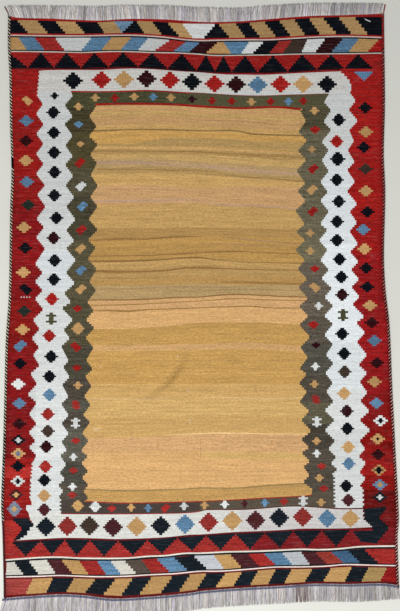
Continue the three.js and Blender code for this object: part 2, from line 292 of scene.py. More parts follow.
# lower end bands
strip("redLowLeft", lowLines["three"], 3, 250, 0, 30, cloth)
strip("redLowRight", lowLines["three"], 249, 398, 0, 30, cloth)
strip("redDark", lowLines["ivoryEnd"], 14, 374, -0.2, 2.0, cloth)
lowPeaks = [40.5, 65, 90, 118, 147.3, 177.3, 206, 235.5, 264.7, 293, 321.7, 349.5]
lowDips = [26, 52, 76.5, 104, 133, 162, 192, 220.5, 249.7, 279.8, 307, 336]
for i, dip in enumerate(lowDips):
    tip = (dip, through(lowLines["four"], dip) - 1.6)
    foot = lowPeaks[i - 1] - 0.5 if i else 12
    left, right = ((a, through(lowLines["three"], a) + 0.3) for a in (foot, lowPeaks[i] + 0.5))
    shape("blackLow", stair(left, tip, 6, 0.15) + stair(tip, right, 6, 0.15), cloth, 0.12)
shape("blackLow", [(352, 531), (376, 530)] + stair((389, 528), (376, 543.5), 5) + [(361, 541.5)]
      + stair((361, 541.5), (352, 531), 4), cloth)
strip("ivoryWarm", lowLines["four"], 3, 398, 0, 1.5, cloth)
strip("blackLow", lowLines["four"], 3, 398, 1.5, 3.4, cloth)
slantBand(lowLines["four"], 3.2, lowLines["six"], 0, [
    ("redWarm", 7.2, 6.2), ("ivoryDull", 14.2, 24.2), ("blackLow", 28.7, 39.2), ("ivoryDull", 46.8, 56.2),
    ("maroonLow", 61.5, 73.2), ("tanLow", 79.2, 89.2), ("redWarm", 97.2, 106.7), ("blue", 110.4, 121.7),
    ("ivoryDull", 124.7, 136.7), ("oliveGrey", 141.2, 152.2), ("redWarm", 156.6, 170.2),
    ("blue", 173.7, 188.2), ("blackLow", 193.2, 208), ("ivoryCool", 213.7, 224.7),
    ("tanLow", 230.2, 242.2), ("maroonLow", 248, 259.8), ("redWarm", 263.7, 276.2),
    ("blue", 281.7, 293.2), ("ivoryCool", 300.9, 310.2), ("maroonLow", 315.2, 327.2),
    ("orange", 330.7, 343.7), ("blueDeep", 347.4, 360.7), ("blackLow", 363.6, 379.2),
    ("redWarm", 394.3, 394.3), ("redDeep", 402, 402),
], start=(0, 0))
strip("blackLow", lowLines["six"], 3, 398, -0.1, 1.2, cloth)
strip("pinkCream", lowLines["six"], 3, 398, 1.2, 2.6, cloth)
strip("redDark", lowLines["six"], 3, 398, 2.4, 4.1, cloth)
slantBand(lowLines["six"], 4.0, lowLines["seven"], 0, [
    ("redRust", 33.2, 25.7), ("tanLow", 53.2, 46.4), ("blackLow", 74.8, 66.2), ("tanLow", 96.2, 84.7),
    ("blackLow", 116.4, 103.2), ("tanLow", 133.2, 121.2), ("blackLow", 152.2, 139.2),
    ("tanLow", 173, 160.4), ("blackLow", 191, 178.7), ("tanLow", 207, 196.9), ("blackLow", 226, 215.2),
    ("tanLow", 242.2, 233.2), ("blackLow", 258.4, 250.2), ("tanLow", 276, 267.7),
    ("blackLow", 292, 284.2), ("tanLow", 312.7, 304.4), ("blackLow", 331.4, 323.2),
    ("tanLow", 352, 344.4), ("blackLow", 369, 361.2), ("tanDull", 387.2, 380.2), ("redDeep", 404, 404),
], start=(6, 0))
strip("redDark", lowLines["seven"], 3, 400, 0, 3.5, cloth)
strip("red", topEdge, 8, 386, -1, 2.2, cloth)

# side borders
# each zigzag between two colours: the tips of its left colour, then the tips of its right colour
zigzags = {
    "redIvoryLeft": (
        [(42.5, 104.4), (43.2, 124.7), (43, 144), (43, 164), (44.5, 185.4), (45, 206.7), (43.5, 227.4),
         (44.5, 248.7), (42, 272.8), (42, 290.5), (42.7, 309.4), (39, 329), (38.5, 347.3), (39, 365.2),
         (36.5, 383.6), (36, 403), (36, 423.6), (34.7, 440.7), (36, 455.7)],
        [(37, 94.5), (37, 113.8), (37.2, 134), (37, 154), (37, 174), (38, 194.8), (37.5, 218.9),
         (37, 237.4), (36, 263.8), (36, 281.6), (36, 298.8), (34, 320), (32.8, 338.2), (34, 355),
         (31.4, 374), (28.8, 394.2), (30, 414), (29.8, 432.4), (30, 447.3), (33, 463)]),
    "ivoryOliveLeft": (
        [(72.5, 95.5), (72, 116.5), (72, 136), (72, 156), (72.5, 176), (73.5, 197.3), (74.7, 219.5),
         (73.5, 240.8), (75, 260), (74, 283), (70, 301.5), (72, 319.7), (69, 338), (68, 360.3),
         (69, 376.7), (68, 396.5), (68, 415), (68, 433), (66.3, 449.6), (65.5, 464.4), (64, 478.8),
         (62.7, 490.7)],
        [(65.5, 105.4), (65.3, 124.5), (66, 145.5), (66, 165), (66.2, 185.5), (67, 206.7), (67, 230.3),
         (67, 248.4), (66.7, 272.6), (65, 293.2), (63, 308.4), (64.5, 330), (62, 346.8), (64, 367.2),
         (62.8, 385), (62, 404), (62.3, 423.5), (62.3, 442.2), (61, 455.6), (60.5, 472.4), (59, 485.5),
         (59.3, 497)]),
    "oliveFieldLeft": (
        [(96.5, 105.4), (96, 126.5), (97, 145), (96.5, 163.5), (97.3, 186), (97, 206.7), (97, 229.8),
         (95, 248), (96, 269.5), (95.5, 290.5), (93, 310.6), (93.7, 327.9), (93, 347.8), (92, 369),
         (91, 386), (90, 405), (89.5, 422.2), (88, 440.5), (87, 456), (87.4, 471), (87.7, 485),
         (87.7, 497.5)],
        [(90, 116.5), (90, 136), (91, 154.5), (91.5, 175), (91, 197), (89.5, 218.9), (89, 239.6),
         (88.7, 258.4), (90, 281.6), (88, 302), (87, 319.8), (86.5, 337.9), (87, 359.8), (86, 376.5),
         (85, 396), (84, 414.5), (83, 433), (82, 450.5), (82.3, 463), (83, 477.5), (84.3, 491),
         (84.3, 503)]),
    "fieldOliveRight": (
        [(305, 121), (305.8, 141), (305, 160), (304.4, 183), (304.5, 201), (303.7, 223.7), (304, 239.8),
         (304, 260), (306, 279), (306.8, 298.3), (307.2, 316), (309, 336.8), (307, 357.3), (305.5, 374.5),
         (306, 392), (308.2, 411), (310, 430.5), (308, 447.2), (308.8, 461), (308.6, 474.7), (312, 490),
         (311, 496)],
        [(300, 110), (299, 132), (298.5, 150.8), (297.2, 171), (298.3, 191.2), (296, 211), (297, 232.3),
         (296.2, 250.4), (298.3, 269), (299.2, 287.4), (299.8, 306.5), (300, 324.8), (301, 347.5),
         (300.4, 368), (299.7, 382.8), (300, 401.5), (302, 420), (302, 439.4), (302.5, 453), (304, 467),
         (304, 481.7)]),
    "oliveIvoryRight": (
        [(330.2, 110.7), (330.3, 130.2), (328, 150.4), (328, 171.2), (327, 192), (328, 211.6),
         (326.3, 230.5), (326.6, 250), (328, 269.7), (331, 288.4), (332.2, 306), (332, 324.2),
         (332.2, 344.3), (332.6, 363.4), (332, 382.8), (332.7, 401.2), (333.6, 420), (334.2, 441),
         (335.3, 457), (336.5, 469.3)],
        [(324.5, 101.6), (324.2, 121.6), (322.4, 142), (322.2, 160.3), (321, 182), (321, 200.7),
         (321, 223.4), (319.6, 240.3), (321, 260), (322.3, 278.3), (325.4, 297), (325, 315.8), (325, 335),
         (326.5, 354.6), (326, 373), (327, 391.4), (325.4, 410.3), (325.5, 430), (329, 448.5),
         (331.7, 463), (332.3, 474.5)]),
    "ivoryRedRight": (
        [(354.7, 101), (356.7, 121), (353.2, 141), (353.7, 161.7), (354, 181.8), (356.2, 204),
         (356, 222.6), (357, 243.7), (357.5, 261.7), (358, 279.3), (358.6, 296.7), (363, 316.4),
         (364, 332.5), (366, 355), (366, 373), (366.4, 392.5), (368.3, 410.8), (369, 430), (364.3, 448.6),
         (364.8, 463), (364.5, 478.5)],
        [(350, 92), (349.3, 109.8), (349.5, 130.7), (348, 150.4), (347.7, 170.3), (347.5, 191.4),
         (350.2, 211.8), (350, 231.6), (350.7, 252), (351.6, 269.7), (352, 287), (353, 304.2), (357, 323),
         (357.4, 341.8), (359.2, 364.7), (360.3, 381.7), (360.8, 400.7), (360.4, 420), (360, 441),
         (359.2, 456), (360, 472), (359.8, 486.4)]),
}


def teeth(start, end, count, depth):
    # fine comb edge where two colours share their warps
    points = []
    for i in range(count):
        a = start[0] + (end[0] - start[0]) * (i + 0.5) / count + (depth if i % 2 else -depth) / 2
        points += [(a, start[1] + (end[1] - start[1]) * k / count) for k in (i, i + 1)]
    return points


def zigzag(name, before=(), after=()):
    tips, dips = zigzags[name]
    turns = sorted(tips + dips, key=lambda p: p[1])
    points = list(before)
    for a, b in zip(turns, turns[1:]):
        count = max(3, round((b[1] - a[1]) / 2.05))
        reach = (b[0] - a[0]) / (count - 1) / 2  # lets the outer steps reach the tips
        points += stair((a[0] - reach, a[1]), (b[0] + reach, b[1]), count, 0.1)
    return points + list(after)


chevron = [(34, 525), (32.7, 527), (30, 527), (30, 530.6), (27.4, 530.6), (27.4, 535.3), (24, 535.3),
           (24, 537.4), (20.7, 537.4), (20.7, 539), (15, 540.3)]
redIvoryLeft = zigzag("redIvoryLeft", teeth((39.5, 71.5), (37.5, 94.5), 12, 0.9),
                      teeth((32.5, 463), (31, 480), 9, 1.4) + teeth((31, 480), (30, 500), 10, 1.2)
                      + [(31.8, 501.5), (31.8, 505), (26.5, 505), (26.2, 509.5), (29, 513), (29.5, 517)]
                      + stair((29.5, 518), (34.6, 525), 3) + chevron)
ivoryOliveLeft = zigzag("ivoryOliveLeft", [(71, 91.1)],
                        teeth((60.5, 497), (60.5, 512), 8, 1.6) + [(60.5, 513.4)])
oliveFieldLeft = zigzag("oliveFieldLeft", [(96, 104)])
fieldOliveRight = zigzag("fieldOliveRight", [(302, 108.9)])
oliveIvoryRight = zigzag("oliveIvoryRight", [(329, 93.8), (327, 97)],
                         teeth((334, 475), (334.5, 506), 16, 1.8) + [(334.5, 508)])
cornerSteps = [(341, 71.4), (341, 73.6), (344, 73.6), (344, 76.4), (346.8, 76.4), (346.8, 79.6),
               (349.4, 79.6), (349.4, 84), (351, 84), (351, 91)]
ivoryRedRight = zigzag("ivoryRedRight", cornerSteps,
                       teeth((362.8, 487), (363.5, 519), 14, 1.5)
                       + stair((364.5, 519), (372.7, 526.5), 4) + [(372.7, 527.4)])

ivoryTop = ruled(topLines["eight"], 39.5, 341)
ivoryLow = ruled(lowLines["ivoryEnd"], 15, 372.7)
ivory = shape("ivory", ivoryTop + ivoryRedRight + ivoryLow[::-1] + redIvoryLeft[::-1], cloth, 0)
lotsDown(36, 78, 510, [  # left ivory border
    (92, "ivory", 1.0), (220, "ivory", 1.021), (250, "ivoryCold", 0.925), (290, "ivory", 1.018),
    (340, "ivory", 1.023), (384, "ivory", 1.036), (458, "ivory", 1.015)
], ivory, 0.006)
lotsDown(315, 375, 510, [  # right ivory border
    (92, "ivory", 1.0), (124, "ivory", 1.023), (146, "ivoryCold", 0.936), (166, "ivoryCold", 0.962),
    (184, "ivoryCold", 0.978), (222, "ivoryCold", 0.993), (244, "ivoryCold", 1.02),
    (300, "ivoryCold", 1.01), (330, "ivoryCold", 0.996), (344, "ivoryCold", 0.959),
    (390, "ivory", 1.039), (430, "ivory", 1.007)
], ivory, 0.006)
shape("ivoryTop", [(38, 68), (346, 68), (346, 92), (38, 92)], ivory, 0)
shape("ivoryLow", [(14, 512), (240, 508), (240, 536), (14, 542)], ivory, 0)
shape("ivoryLowRight", [(240, 508), (374, 508), (374, 532), (240, 536)], ivory, 0)
oliveTop = ruled(topLines["nine"], 71, 329, 0.4)
oliveLow = ruled(lowLines["oliveEnd"], 60.5, 334.5)
olive = shape("olive", oliveTop + oliveIvoryRight + oliveLow[::-1] + ivoryOliveLeft[::-1], cloth, 0)
strip("red", topLines["nine"], 71, 328, -0.1, 1.2, cloth)
strip("redDark", lowLines["oliveEnd"], 61, 364, -0.5, 0.8, cloth)
strip("redWarm", lowLines["oliveEnd"], 61, 200, -0.5, 0.8, cloth)

lotsDown(60, 100, 514, [  # left dark inner border
    (108, "oliveMoss", 0.91), (132, "oliveMoss", 1.04), (168, "oliveEarth", 0.91),
    (196, "oliveEarth", 0.8), (240, "oliveEarth", 0.95), (300, "oliveEarth", 0.91),
    (345, "oliveLight", 0.66), (377, "oliveClay", 0.91), (400, "oliveSmoke", 0.98),
    (412, "oliveClay", 0.94), (428, "oliveSmoke", 1.03), (462, "oliveSmoke", 0.86),
    (484, "oliveClay", 0.99), (500, "oliveClay", 0.89)
], olive, 0.03)
lotsDown(290, 340, 514, [  # right dark inner border
    (108, "oliveEarth", 0.93), (130, "oliveLight", 0.94), (200, "oliveLight", 1.0),
    (236, "oliveLight", 1.06), (262, "oliveClay", 1.27), (316, "oliveClay", 1.13),
    (344, "oliveSmoke", 0.93), (376, "oliveClay", 1.02), (402, "oliveLight", 0.83),
    (424, "oliveClay", 0.88), (448, "oliveClay", 1.06), (470, "oliveClay", 0.98),
    (490, "oliveClay", 1.05)
], olive, 0.03)
shape("oliveTop", [(190, 88), (330, 88), (330, 108), (190, 108)], olive, 0)
shape("oliveLow", [(60, 500), (340, 490), (340, 512), (60, 515)], olive, 0)
shape("oliveLowRight", [(200, 498), (340, 490), (340, 512), (200, 515)], olive, 0)

# striped field
fieldTop = ruled(topLines["eleven"], 96, 302, 1.8)
fieldLow = ruled(lowLines["fieldEnd"], 84.3, 311)
field = shape("gold", fieldTop + fieldOliveRight + fieldLow[::-1] + oliveFieldLeft[::-1], olive, 0)
strip("red", topLines["eleven"], 95, 301, -0.3, 1.9, olive)
strip("rust", lowLines["fieldEnd"], 84, 312, -0.2, 1.1, olive)
waveAcross = [85, 100, 150, 200, 250, 300, 310]
waves = [(104, -1.2, 2.3, 3.8, 5), (130, -1.1, 0.3, 3, 5), (146, 0, 0.9, 3.5, 6.2),
         (152, 0, 0.4, 3.2, 5.3), (159.7, -0.8, 2.2, 5.5, 9), (168, -0.6, 1.4, 7.5, 9.3),
         (174, -0.4, 1, 5, 8), (185, 0, 3, 1.5, 2), (204.4, -0.2, -0.8, 2, 4.7), (228.5, -0.5, -0.8, 0, 0),
         (240, -1.5, -3, -2.5, -1), (256, -0.7, -3.5, -4.2, -2.3), (261.2, -1.2, -3.6, -0.6, 1.6),
         (268, -0.5, -3.5, -1, 1), (272.4, -0.7, -2.5, -2, -1.5), (285.5, -0.5, -1.5, -0.5, -1),
         (300, -1.2, -3.2, -5.5, -3.3), (310.8, -1.6, -3, -4.4, -2.5), (329, -1.2, -6.2, -6.4, -4.6),
         (345.3, -0.6, -1.5, -2.6, 0.6), (351, -0.4, -1, -2, 0.8), (398.6, 0, 0, -0.6, -0.6),
         (437.5, -1.2, -3.1, -3.8, -3), (450.8, 0, 0, 0.4, 1.4), (457.3, 0, 0.4, 1.2, 1.4),
         (490, 0.2, -2.5, -3.6, -6.6), (502, 0, -1.5, -4.2, -6.4)]


def wave(across, down):
    # how far a weft line has drifted from its height at the left of the field
    drifts = []
    for column in range(1, 5):
        drifts.append(through([(row[0], row[column]) for row in waves], down))
    values = [0, 0] + drifts + [drifts[3]]
    return through(list(zip(waveAcross, values)), across)


stripes = [  # start, wool and tone; each runs to the next
    (100, "goldPale", 0.95), (112, "goldDull", 1.07), (116, "goldPale", 0.93), (126, "gold", 0.99),
    (131.2, "goldDeep", 1.09), (147, "goldDull", 1.12), (149.5, "gold", 0.9), (154.2, "goldDull", 1.09),
    (159.7, "goldWhite", 0.86), (167.5, "goldDull", 1.0), (173.6, "gold", 1.01), (185, "goldRose", 1.02),
    (204.4, "gold", 0.99), (219, "gold", 0.97), (228.5, "goldBrown", 1.1), (239.4, "goldDeep", 1.01),
    (247, "goldDeep", 0.99), (256.4, "goldDeep", 1.01), (261.6, "gold", 0.97), (268, "gold", 0.92),
    (272.4, "gold", 0.9), (278, "goldBrown", 1.15), (285.5, "goldGrey", 1.06), (299.6, "goldRose", 1.05),
    (310.8, "goldPale", 1.02), (329, "goldDeep", 1.05), (345.3, "goldPale", 0.97), (351, "goldDeep", 1.05),
    (368, "goldDeep", 1.04), (384, "gold", 1.01), (398.6, "goldDull", 1.14), (418, "gold", 1.0),
    (437.6, "goldRose", 1.01), (450.8, "goldPale", 0.98), (457.3, "goldPale", 1.0),
    (490.2, "goldBrown", 1.17), (508, None, None),
]


def speck(dye, across, down, halfWide, halfTall, within):
    # one small block of colour, a few warps wide
    west, east = across - halfWide, across + halfWide
    high, low = down - halfTall, down + halfTall
    shape(dye, [(west, high), (east, high), (east, low), (west, low)], within)


def fieldLine(down):
    return [(a, down + wave(a, down)) for a in samples(80, 315, 6)]


for (down, dye, tone), (bottom, _, _) in zip(stripes, stripes[1:]):
    shape(dye, fieldLine(down) + fieldLine(bottom)[::-1], field, 0.012, tone)
veins = [  # wool and tone, then across, down and thickness along a weft line that thins out or ends
    ("goldBrown", 0.88, [(84, 130.6, 1.3), (97, 130.2, 1.5), (135, 129, 1.4), (170, 129.1, 1.5),
        (200, 130.5, 1.2), (235, 130.3, 1.3), (253, 133.4, 1.6), (300, 135, 1.5), (312, 135.2, 1.4)]),
    ("goldRose", 0.89, [(180, 119.4, 0), (204, 119.8, 0.8), (250, 121.5, 0.9), (275, 124.4, 1),
        (303, 125.1, 0.9), (312, 125.2, 0.8)]),
    ("goldRose", 1.09, [(97, 147.6, 0.9), (200, 148, 0.9), (250, 150.4, 0.9), (303, 153.4, 0.9)]),
    ("goldBrown", 1.0, [(84, 151, 1.2), (110, 150.6, 1.4), (150, 150.8, 1), (200, 151.4, 1.6),
        (250, 154.6, 1.2), (303, 157.2, 1)]),
    ("pinkGrey", 0.96, [(97, 162, 1.6), (130, 161.2, 2.2), (165, 163.6, 1.4), (185, 166, 0)]),
    ("pinkGrey", 1.0, [(170, 165, 0), (200, 165.4, 1.6), (240, 169, 1.8), (290, 173, 1.4),
        (305, 174.4, 0.6)]),
    ("goldBrown", 1.01, [(97, 168.6, 1.6), (130, 168.8, 1.2), (170, 169.4, 1.5), (200, 170.4, 1.2),
        (215, 172, 0.8), (235, 175.6, 0.8), (250, 176.8, 1.3), (270, 178, 1), (303, 180.8, 1.5),
        (312, 181, 1.2)]),
    ("goldRose", 0.97, [(97, 190, 0.8), (190, 189.6, 0.9), (250, 190.6, 0.7), (280, 190.6, 0)]),
    ("pinkGrey", 1.02, [(90, 200.4, 1.2), (130, 199.8, 1.8), (185, 199.4, 1.2), (215, 200.4, 0)]),
    ("pinkGrey", 1.0, [(205, 204.2, 0), (230, 204.6, 1.5), (260, 205.8, 1.2), (303, 208.8, 0.8)]),
    ("goldShade", 1.0, [(84, 240, 0.8), (97, 239.4, 1.4), (120, 238.2, 2.2), (140, 238.4, 1.6),
        (160, 237.2, 1.6), (175, 236, 2), (190, 236, 1.2), (206, 236.5, 0)]),
    ("goldRose", 0.86, [(215, 236, 0), (235, 238, 1.2), (260, 240, 1.6), (303, 243.6, 1.2)]),
    ("goldPale", 0.82, [(190, 243, 0), (230, 244, 1.2), (270, 245.5, 1), (303, 246, 0.6)]),
    ("goldShade", 1.01, [(84, 255.8, 1.3), (120, 255.2, 1.3), (150, 254.8, 1.2), (180, 253.2, 1.5),
        (200, 252, 1.4), (215, 251.2, 1.6), (240, 251, 1.2), (260, 252, 0.9), (303, 253.4, 1.4),
        (312, 253.6, 1.2)]),
    ("goldShade", 0.94, [(84, 260.6, 1.8), (110, 260.4, 1.9), (130, 260.2, 1.7), (160, 259, 1.6),
        (176, 257.6, 1.5), (190, 256.8, 1.7), (202, 257, 1.6), (214, 258.8, 1.2), (226, 260, 0.7),
        (240, 261.4, 0.8), (303, 263, 0.9)]),
    ("goldShade", 0.98, [(84, 270.6, 1.4), (97, 270.2, 2.2), (115, 270.4, 2.6), (140, 270.6, 1.8),
        (165, 269.6, 2), (185, 267.2, 1.8), (205, 266.6, 2.2), (225, 268, 1.2), (245, 269, 0.9),
        (303, 269.8, 0.8)]),
    ("goldDull", 0.93, [(97, 278, 1), (130, 277.6, 1.2), (160, 277, 0.8), (180, 277, 0)]),
    ("goldShade", 1.06, [(215, 281.4, 0), (232, 281.6, 1.4), (250, 281.6, 2), (275, 282.2, 2),
        (303, 282.8, 2.2), (312, 283, 2)]),
    ("goldGrey", 1.01, [(97, 289, 1), (140, 287.6, 1.6), (190, 286, 1.6), (230, 286.6, 1), (260, 287, 0)]),
    ("goldGrey", 1.0, [(150, 291, 0), (200, 290, 1.5), (240, 288.5, 1.6), (290, 290, 1), (303, 291, 0)]),
    ("goldShade", 0.96, [(84, 299.6, 1.2), (97, 299.4, 1.3), (140, 298.8, 1.5), (180, 296.7, 1.3),
        (200, 296.4, 1.1), (225, 294, 1.4), (250, 294, 1.3), (280, 295.6, 1.3), (303, 296.4, 1.2),
        (312, 296.6, 1.2)]),
    ("goldDeep", 0.87, [(84, 304.8, 1.1), (130, 304, 1.2), (160, 302.6, 1.1), (200, 300.4, 1),
        (225, 298.6, 1.3), (240, 298, 1.1), (262, 299.2, 1.1), (303, 300, 1), (312, 300.2, 1)]),
    ("goldShade", 1.05, [(84, 310, 1.3), (115, 309.8, 1.8), (130, 310.1, 2), (150, 308.8, 1.3),
        (190, 307.6, 1.2), (215, 306.6, 1.1), (235, 306.1, 1.1), (252, 305.8, 1.1), (272, 307.4, 1),
        (303, 307.6, 0.9)]),
    ("goldBrown", 1.14, [(140, 327.6, 0), (170, 326, 1.2), (200, 323, 1.4), (225, 324, 1),
        (255, 322.6, 1.4), (303, 324.8, 1)]),
    ("goldBrown", 1.16, [(84, 359.4, 0.8), (200, 360.2, 1), (312, 360, 0.8)]),
    ("gold", 1.03, [(84, 372, 0.9), (200, 373, 1), (312, 371, 0.8)]),
    ("goldWhite", 0.99, [(84, 397.8, 1), (120, 398.4, 1.1), (160, 398.2, 0.9), (175, 398, 0)]),
    ("goldWhite", 1.0, [(196, 397.6, 0), (215, 396.6, 1.1), (260, 398, 1.3), (303, 396.8, 1.1)]),
    ("gold", 0.99, [(84, 421, 0.8), (200, 419, 0.9), (312, 420, 0.8)]),
    ("goldWhite", 1.04, [(160, 434.6, 0), (185, 433.6, 1.1), (220, 432.2, 1.5), (260, 433, 1.2),
        (303, 433.6, 1.1), (312, 433.8, 1)]),
    ("straw", 1.0, [(93, 427.9, 0.7), (101, 427.9, 0.7)]),
    ("straw", 1.0, [(93, 429.7, 0.7), (101, 429.7, 0.7)]),
    ("goldDull", 1.13, [(196, 452.6, 0), (212, 452.2, 5.5), (303, 453.2, 6), (312, 453.4, 6)]),
    ("goldPale", 0.97, [(84, 471, 0.9), (200, 470.2, 1), (312, 471, 0.9)]),
    ("goldPale", 0.96, [(84, 481, 0.8), (200, 480, 0.9), (312, 476, 0.8)]),
    ("goldDull", 0.85, [(84, 488.6, 1.2), (125, 489.8, 1.5), (180, 488.6, 1.4), (200, 487.2, 1.3),
        (235, 487.4, 1.6), (265, 484.8, 1.6), (303, 482.6, 1.8), (312, 482.4, 1.6)]),
    ("gold", 0.86, [(215, 490, 0), (240, 489.8, 1.1), (265, 487.6, 1.2), (303, 485.6, 1.2)]),
]
for dye, tone, rows in veins:
    above, below = [], []
    for a in samples(rows[0][0], rows[-1][0], 4):
        d = through([row[:2] for row in rows], a) + chance.uniform(-0.12, 0.12)
        thick = max(0.04, through([(row[0], row[2]) for row in rows], a))
        above.append((a, d))
        below.append((a, d + thick))
    shape(dye, above + below[::-1], field, 0.02, tone)
# a thin dark line of painted shade where a small upright fold creases the field
shape("goldBrown", [(200.1, 436), (200.5, 436), (200.8, 448), (200.6, 459), (200.2, 459), (200.4, 448)],
      field)
wedge = [(120, 145), (135, 143.6), (147, 141.5), (166, 137.9), (200, 138.3), (235, 139.4), (250, 140.8),
         (280, 142), (312, 142.8)]
wedgeEnd = [(90, 146.2), (120, 146.2), (160, 146.4), (200, 147), (250, 149.5), (303, 152.3), (312, 152.7)]
shape("goldDull", [(90, 143.9), (120, 143.7)] + ruled(wedge, 128, 312)
      + ruled(wedgeEnd, 90, 312)[::-1], field)
shape("ivory", [(364.6, 18.8), (367, 20), (370.4, 21.5), (370.2, 22.2), (366.6, 20.8), (364.4, 19.4)])
for across, down in [(177.9, 356.3), (100.6, 366.6), (187.7, 390.7), (189.9, 419.3), (189.9, 422.4)]:
    speck("ivory", across, down, 0.4, 0.5, field)

# figures
# each row of a figure is how far it is moved across and its width; the last value is the height of a row
figures = {
    "cross": ([(0, 3.2), (0, 5.0), (0, 9.4), (0, 5.0), (0, 3.2)], 1.5),
    "star": ([(0, 4.4), (0, 9.6), (0, 15), (0, 9.6), (0, 4.4)], 2.25),
    "diamond": ([(0, 3.8), (0, 7.8), (0, 10), (0, 14), (0, 10), (0, 7.8), (0, 3.8)], 1.74),
    "bandDiamond": ([(0, 4.2), (0, 9.6), (0, 14.6), (0, 20), (0, 14.6), (0, 9.6), (0, 4.2)], 2.38),
    "lowDiamond": ([(0, 3.2), (0, 8.2), (0, 12.6), (0, 16), (0, 19.8), (0, 16), (0, 12.6), (0, 8.2),
                    (0, 3.2)], 2.1),
    "plus": ([(0, 2.8), (0, 3.4), (0, 6), (0, 9), (0, 4.4), (0, 3.2), (0, 2.8)], 1.12),
    "rising": ([(1.3, 3.4), (1.5, 7.2), (0.6, 9.6), (-1.2, 8.4), (-0.9, 5.6), (-0.9, 3)], 1.55),
    "falling": ([(-1.3, 3.4), (-1.5, 7.2), (-0.6, 9.6), (1.2, 8.4), (0.9, 5.6), (0.9, 3)], 1.55),
    "rungs": ([(0, 3.2), (0, 9.2), (0, 4.4), (0, 4.4), (0, 9.2), (0, 3)], 1.75),
    "heart": ([(0, 3.4), (0, 8), (0, 9.2), (0, 5.6), (0, 2.6)], 1.3),
    "double": ([(-1, 3), (-0.8, 7), (-0.4, 9.6), (0.2, 6), (0.6, 9.4), (0.8, 5)], 1.75),
}


def figure(name, dye, across, down, size=1.0, tall=None):
    rows, rowHeight = figures[name]
    rowHeight *= tall if tall else size
    top = down - rowHeight * len(rows) / 2
    left, right = [], []
    for i, (move, width) in enumerate(rows):
        middle = across + move * size + chance.uniform(-0.15, 0.15)
        half = width * size / 2 + chance.uniform(-0.2, 0.2)
        for d in (top + i * rowHeight, top + (i + 1) * rowHeight):
            left.append((middle - half, d))
            right.append((middle + half, d))
    shape(dye, left + right[::-1], cloth, 0.07)


def figureRow(name, rows, size=1.0, tall=None):
    for dye, across, down, *own in rows:
        figure(own[0] if own else name, dye, across, down, own[1] if len(own) > 1 else size, tall)


figureRow("bandDiamond", [
    ("black", 73.2, 80.9), ("red", 101.6, 80), ("tan", 123.9, 79.6), ("maroon", 146.6, 79),
    ("red", 170, 80.3), ("black", 192, 82), ("red", 214.4, 84), ("maroon", 236, 84.7), ("blue", 257.7, 85),
    ("red", 280.5, 84.4), ("tan", 303, 84.4), ("black", 327, 84.5)])
figureRow("cross", [
    ("tan", 95.3, 97.9), ("red", 114.9, 98.2), ("tan", 134.3, 96.8), ("blue", 153.3, 97),
    ("tan", 171, 97.7), ("maroon", 192, 99.3), ("red", 212, 100.9), ("red", 231.7, 101.3),
    ("tan", 251.3, 102), ("red", 270.5, 101.7), ("blue", 288.4, 101.7), ("red", 303.1, 101.1),
    ("tan", 78.5, 106.7), ("tan", 314.3, 110.9)])
figureRow("star", [  # left red border
    ("tan", 27.6, 101, "falling"), ("blue", 26.5, 121), ("maroon", 26.3, 141), ("tan", 26, 160.7),
    ("blue", 27, 182), ("green", 28.5, 205), ("tan", 24, 227.4), ("black", 25.3, 248),
    ("tan", 23.5, 272.4), ("black", 26, 289.5, "falling", 1.2), ("green", 24.4, 311), ("tan", 22.8, 329.5),
    ("blue", 20.3, 346, "rising", 1.2), ("black", 20.3, 363.5), ("ivory", 18.5, 384),
    ("blue", 19.5, 403.3), ("maroon", 19.3, 423.8), ("black", 18.5, 440), ("tan", 18.3, 453.4),
    ("black", 18, 466), ("ivory", 18, 481), ("maroonLow", 16.2, 494.6)], 0.95)
figureRow("star", [  # right red border
    ("black", 365, 108), ("tan", 365.7, 132), ("black", 363.7, 147.4), ("oliveBrown", 365.3, 169),
    ("tan", 365.7, 191), ("black", 367.2, 212), ("blue", 363, 229.6), ("tan", 364.2, 249),
    ("black", 366, 268), ("black", 367, 287), ("tan", 369.8, 305.5), ("maroon", 371.5, 322.5),
    ("blue", 374.2, 340.5), ("maroon", 376.8, 362.7), ("tan", 374.3, 381.7), ("blue", 376.3, 403),
    ("ivory", 380.3, 420.6), ("tan", 377.5, 438.7), ("maroon", 378, 454.2), ("tan", 378.7, 470),
    ("blue", 379.7, 484.5), ("blackLow", 379.7, 497)], 0.95)
figureRow("cross", [  # small hearts of the nested figures
    ("ivory", 18.5, 440), ("blueGrey", 18.3, 453.4), ("black", 18, 481), ("tan", 16.2, 494.6),
    ("black", 380.3, 420.6), ("black", 377.5, 438.7, "cross", 0.45), ("black", 378.7, 470, "cross", 0.95),
    ("tan", 379.7, 484.5), ("ivory", 379.7, 497)], 0.72)
for across in (21.5, 24.2, 27, 29.8):
    speck("ivory", across, 297.15, 0.6, 0.55, cloth)
figureRow("diamond", [  # left ivory border
    ("black", 54.8, 96, "cross", 0.95), ("black", 53.5, 112.6), ("black", 54, 132.8),
    ("black", 54.3, 152.7), ("black", 54.7, 172.2), ("black", 54.5, 195.4), ("black", 56.4, 218),
    ("maroon", 53.7, 238), ("black", 54.8, 260.5), ("black", 54, 279.5), ("red", 52, 299),
    ("olive", 51.3, 318.6, "rungs", 1.15), ("red", 49.4, 335.8), ("black", 51.2, 356.5),
    ("black", 49.6, 376.3), ("blue", 49.5, 394.7), ("redWarm", 48, 414), ("oliveBrown", 48, 431),
    ("maroon", 46.4, 446.5), ("redWarm", 45.5, 466.5), ("black", 44.5, 480), ("tan", 44.3, 495.5),
    ("maroonLow", 44.3, 509.5)])
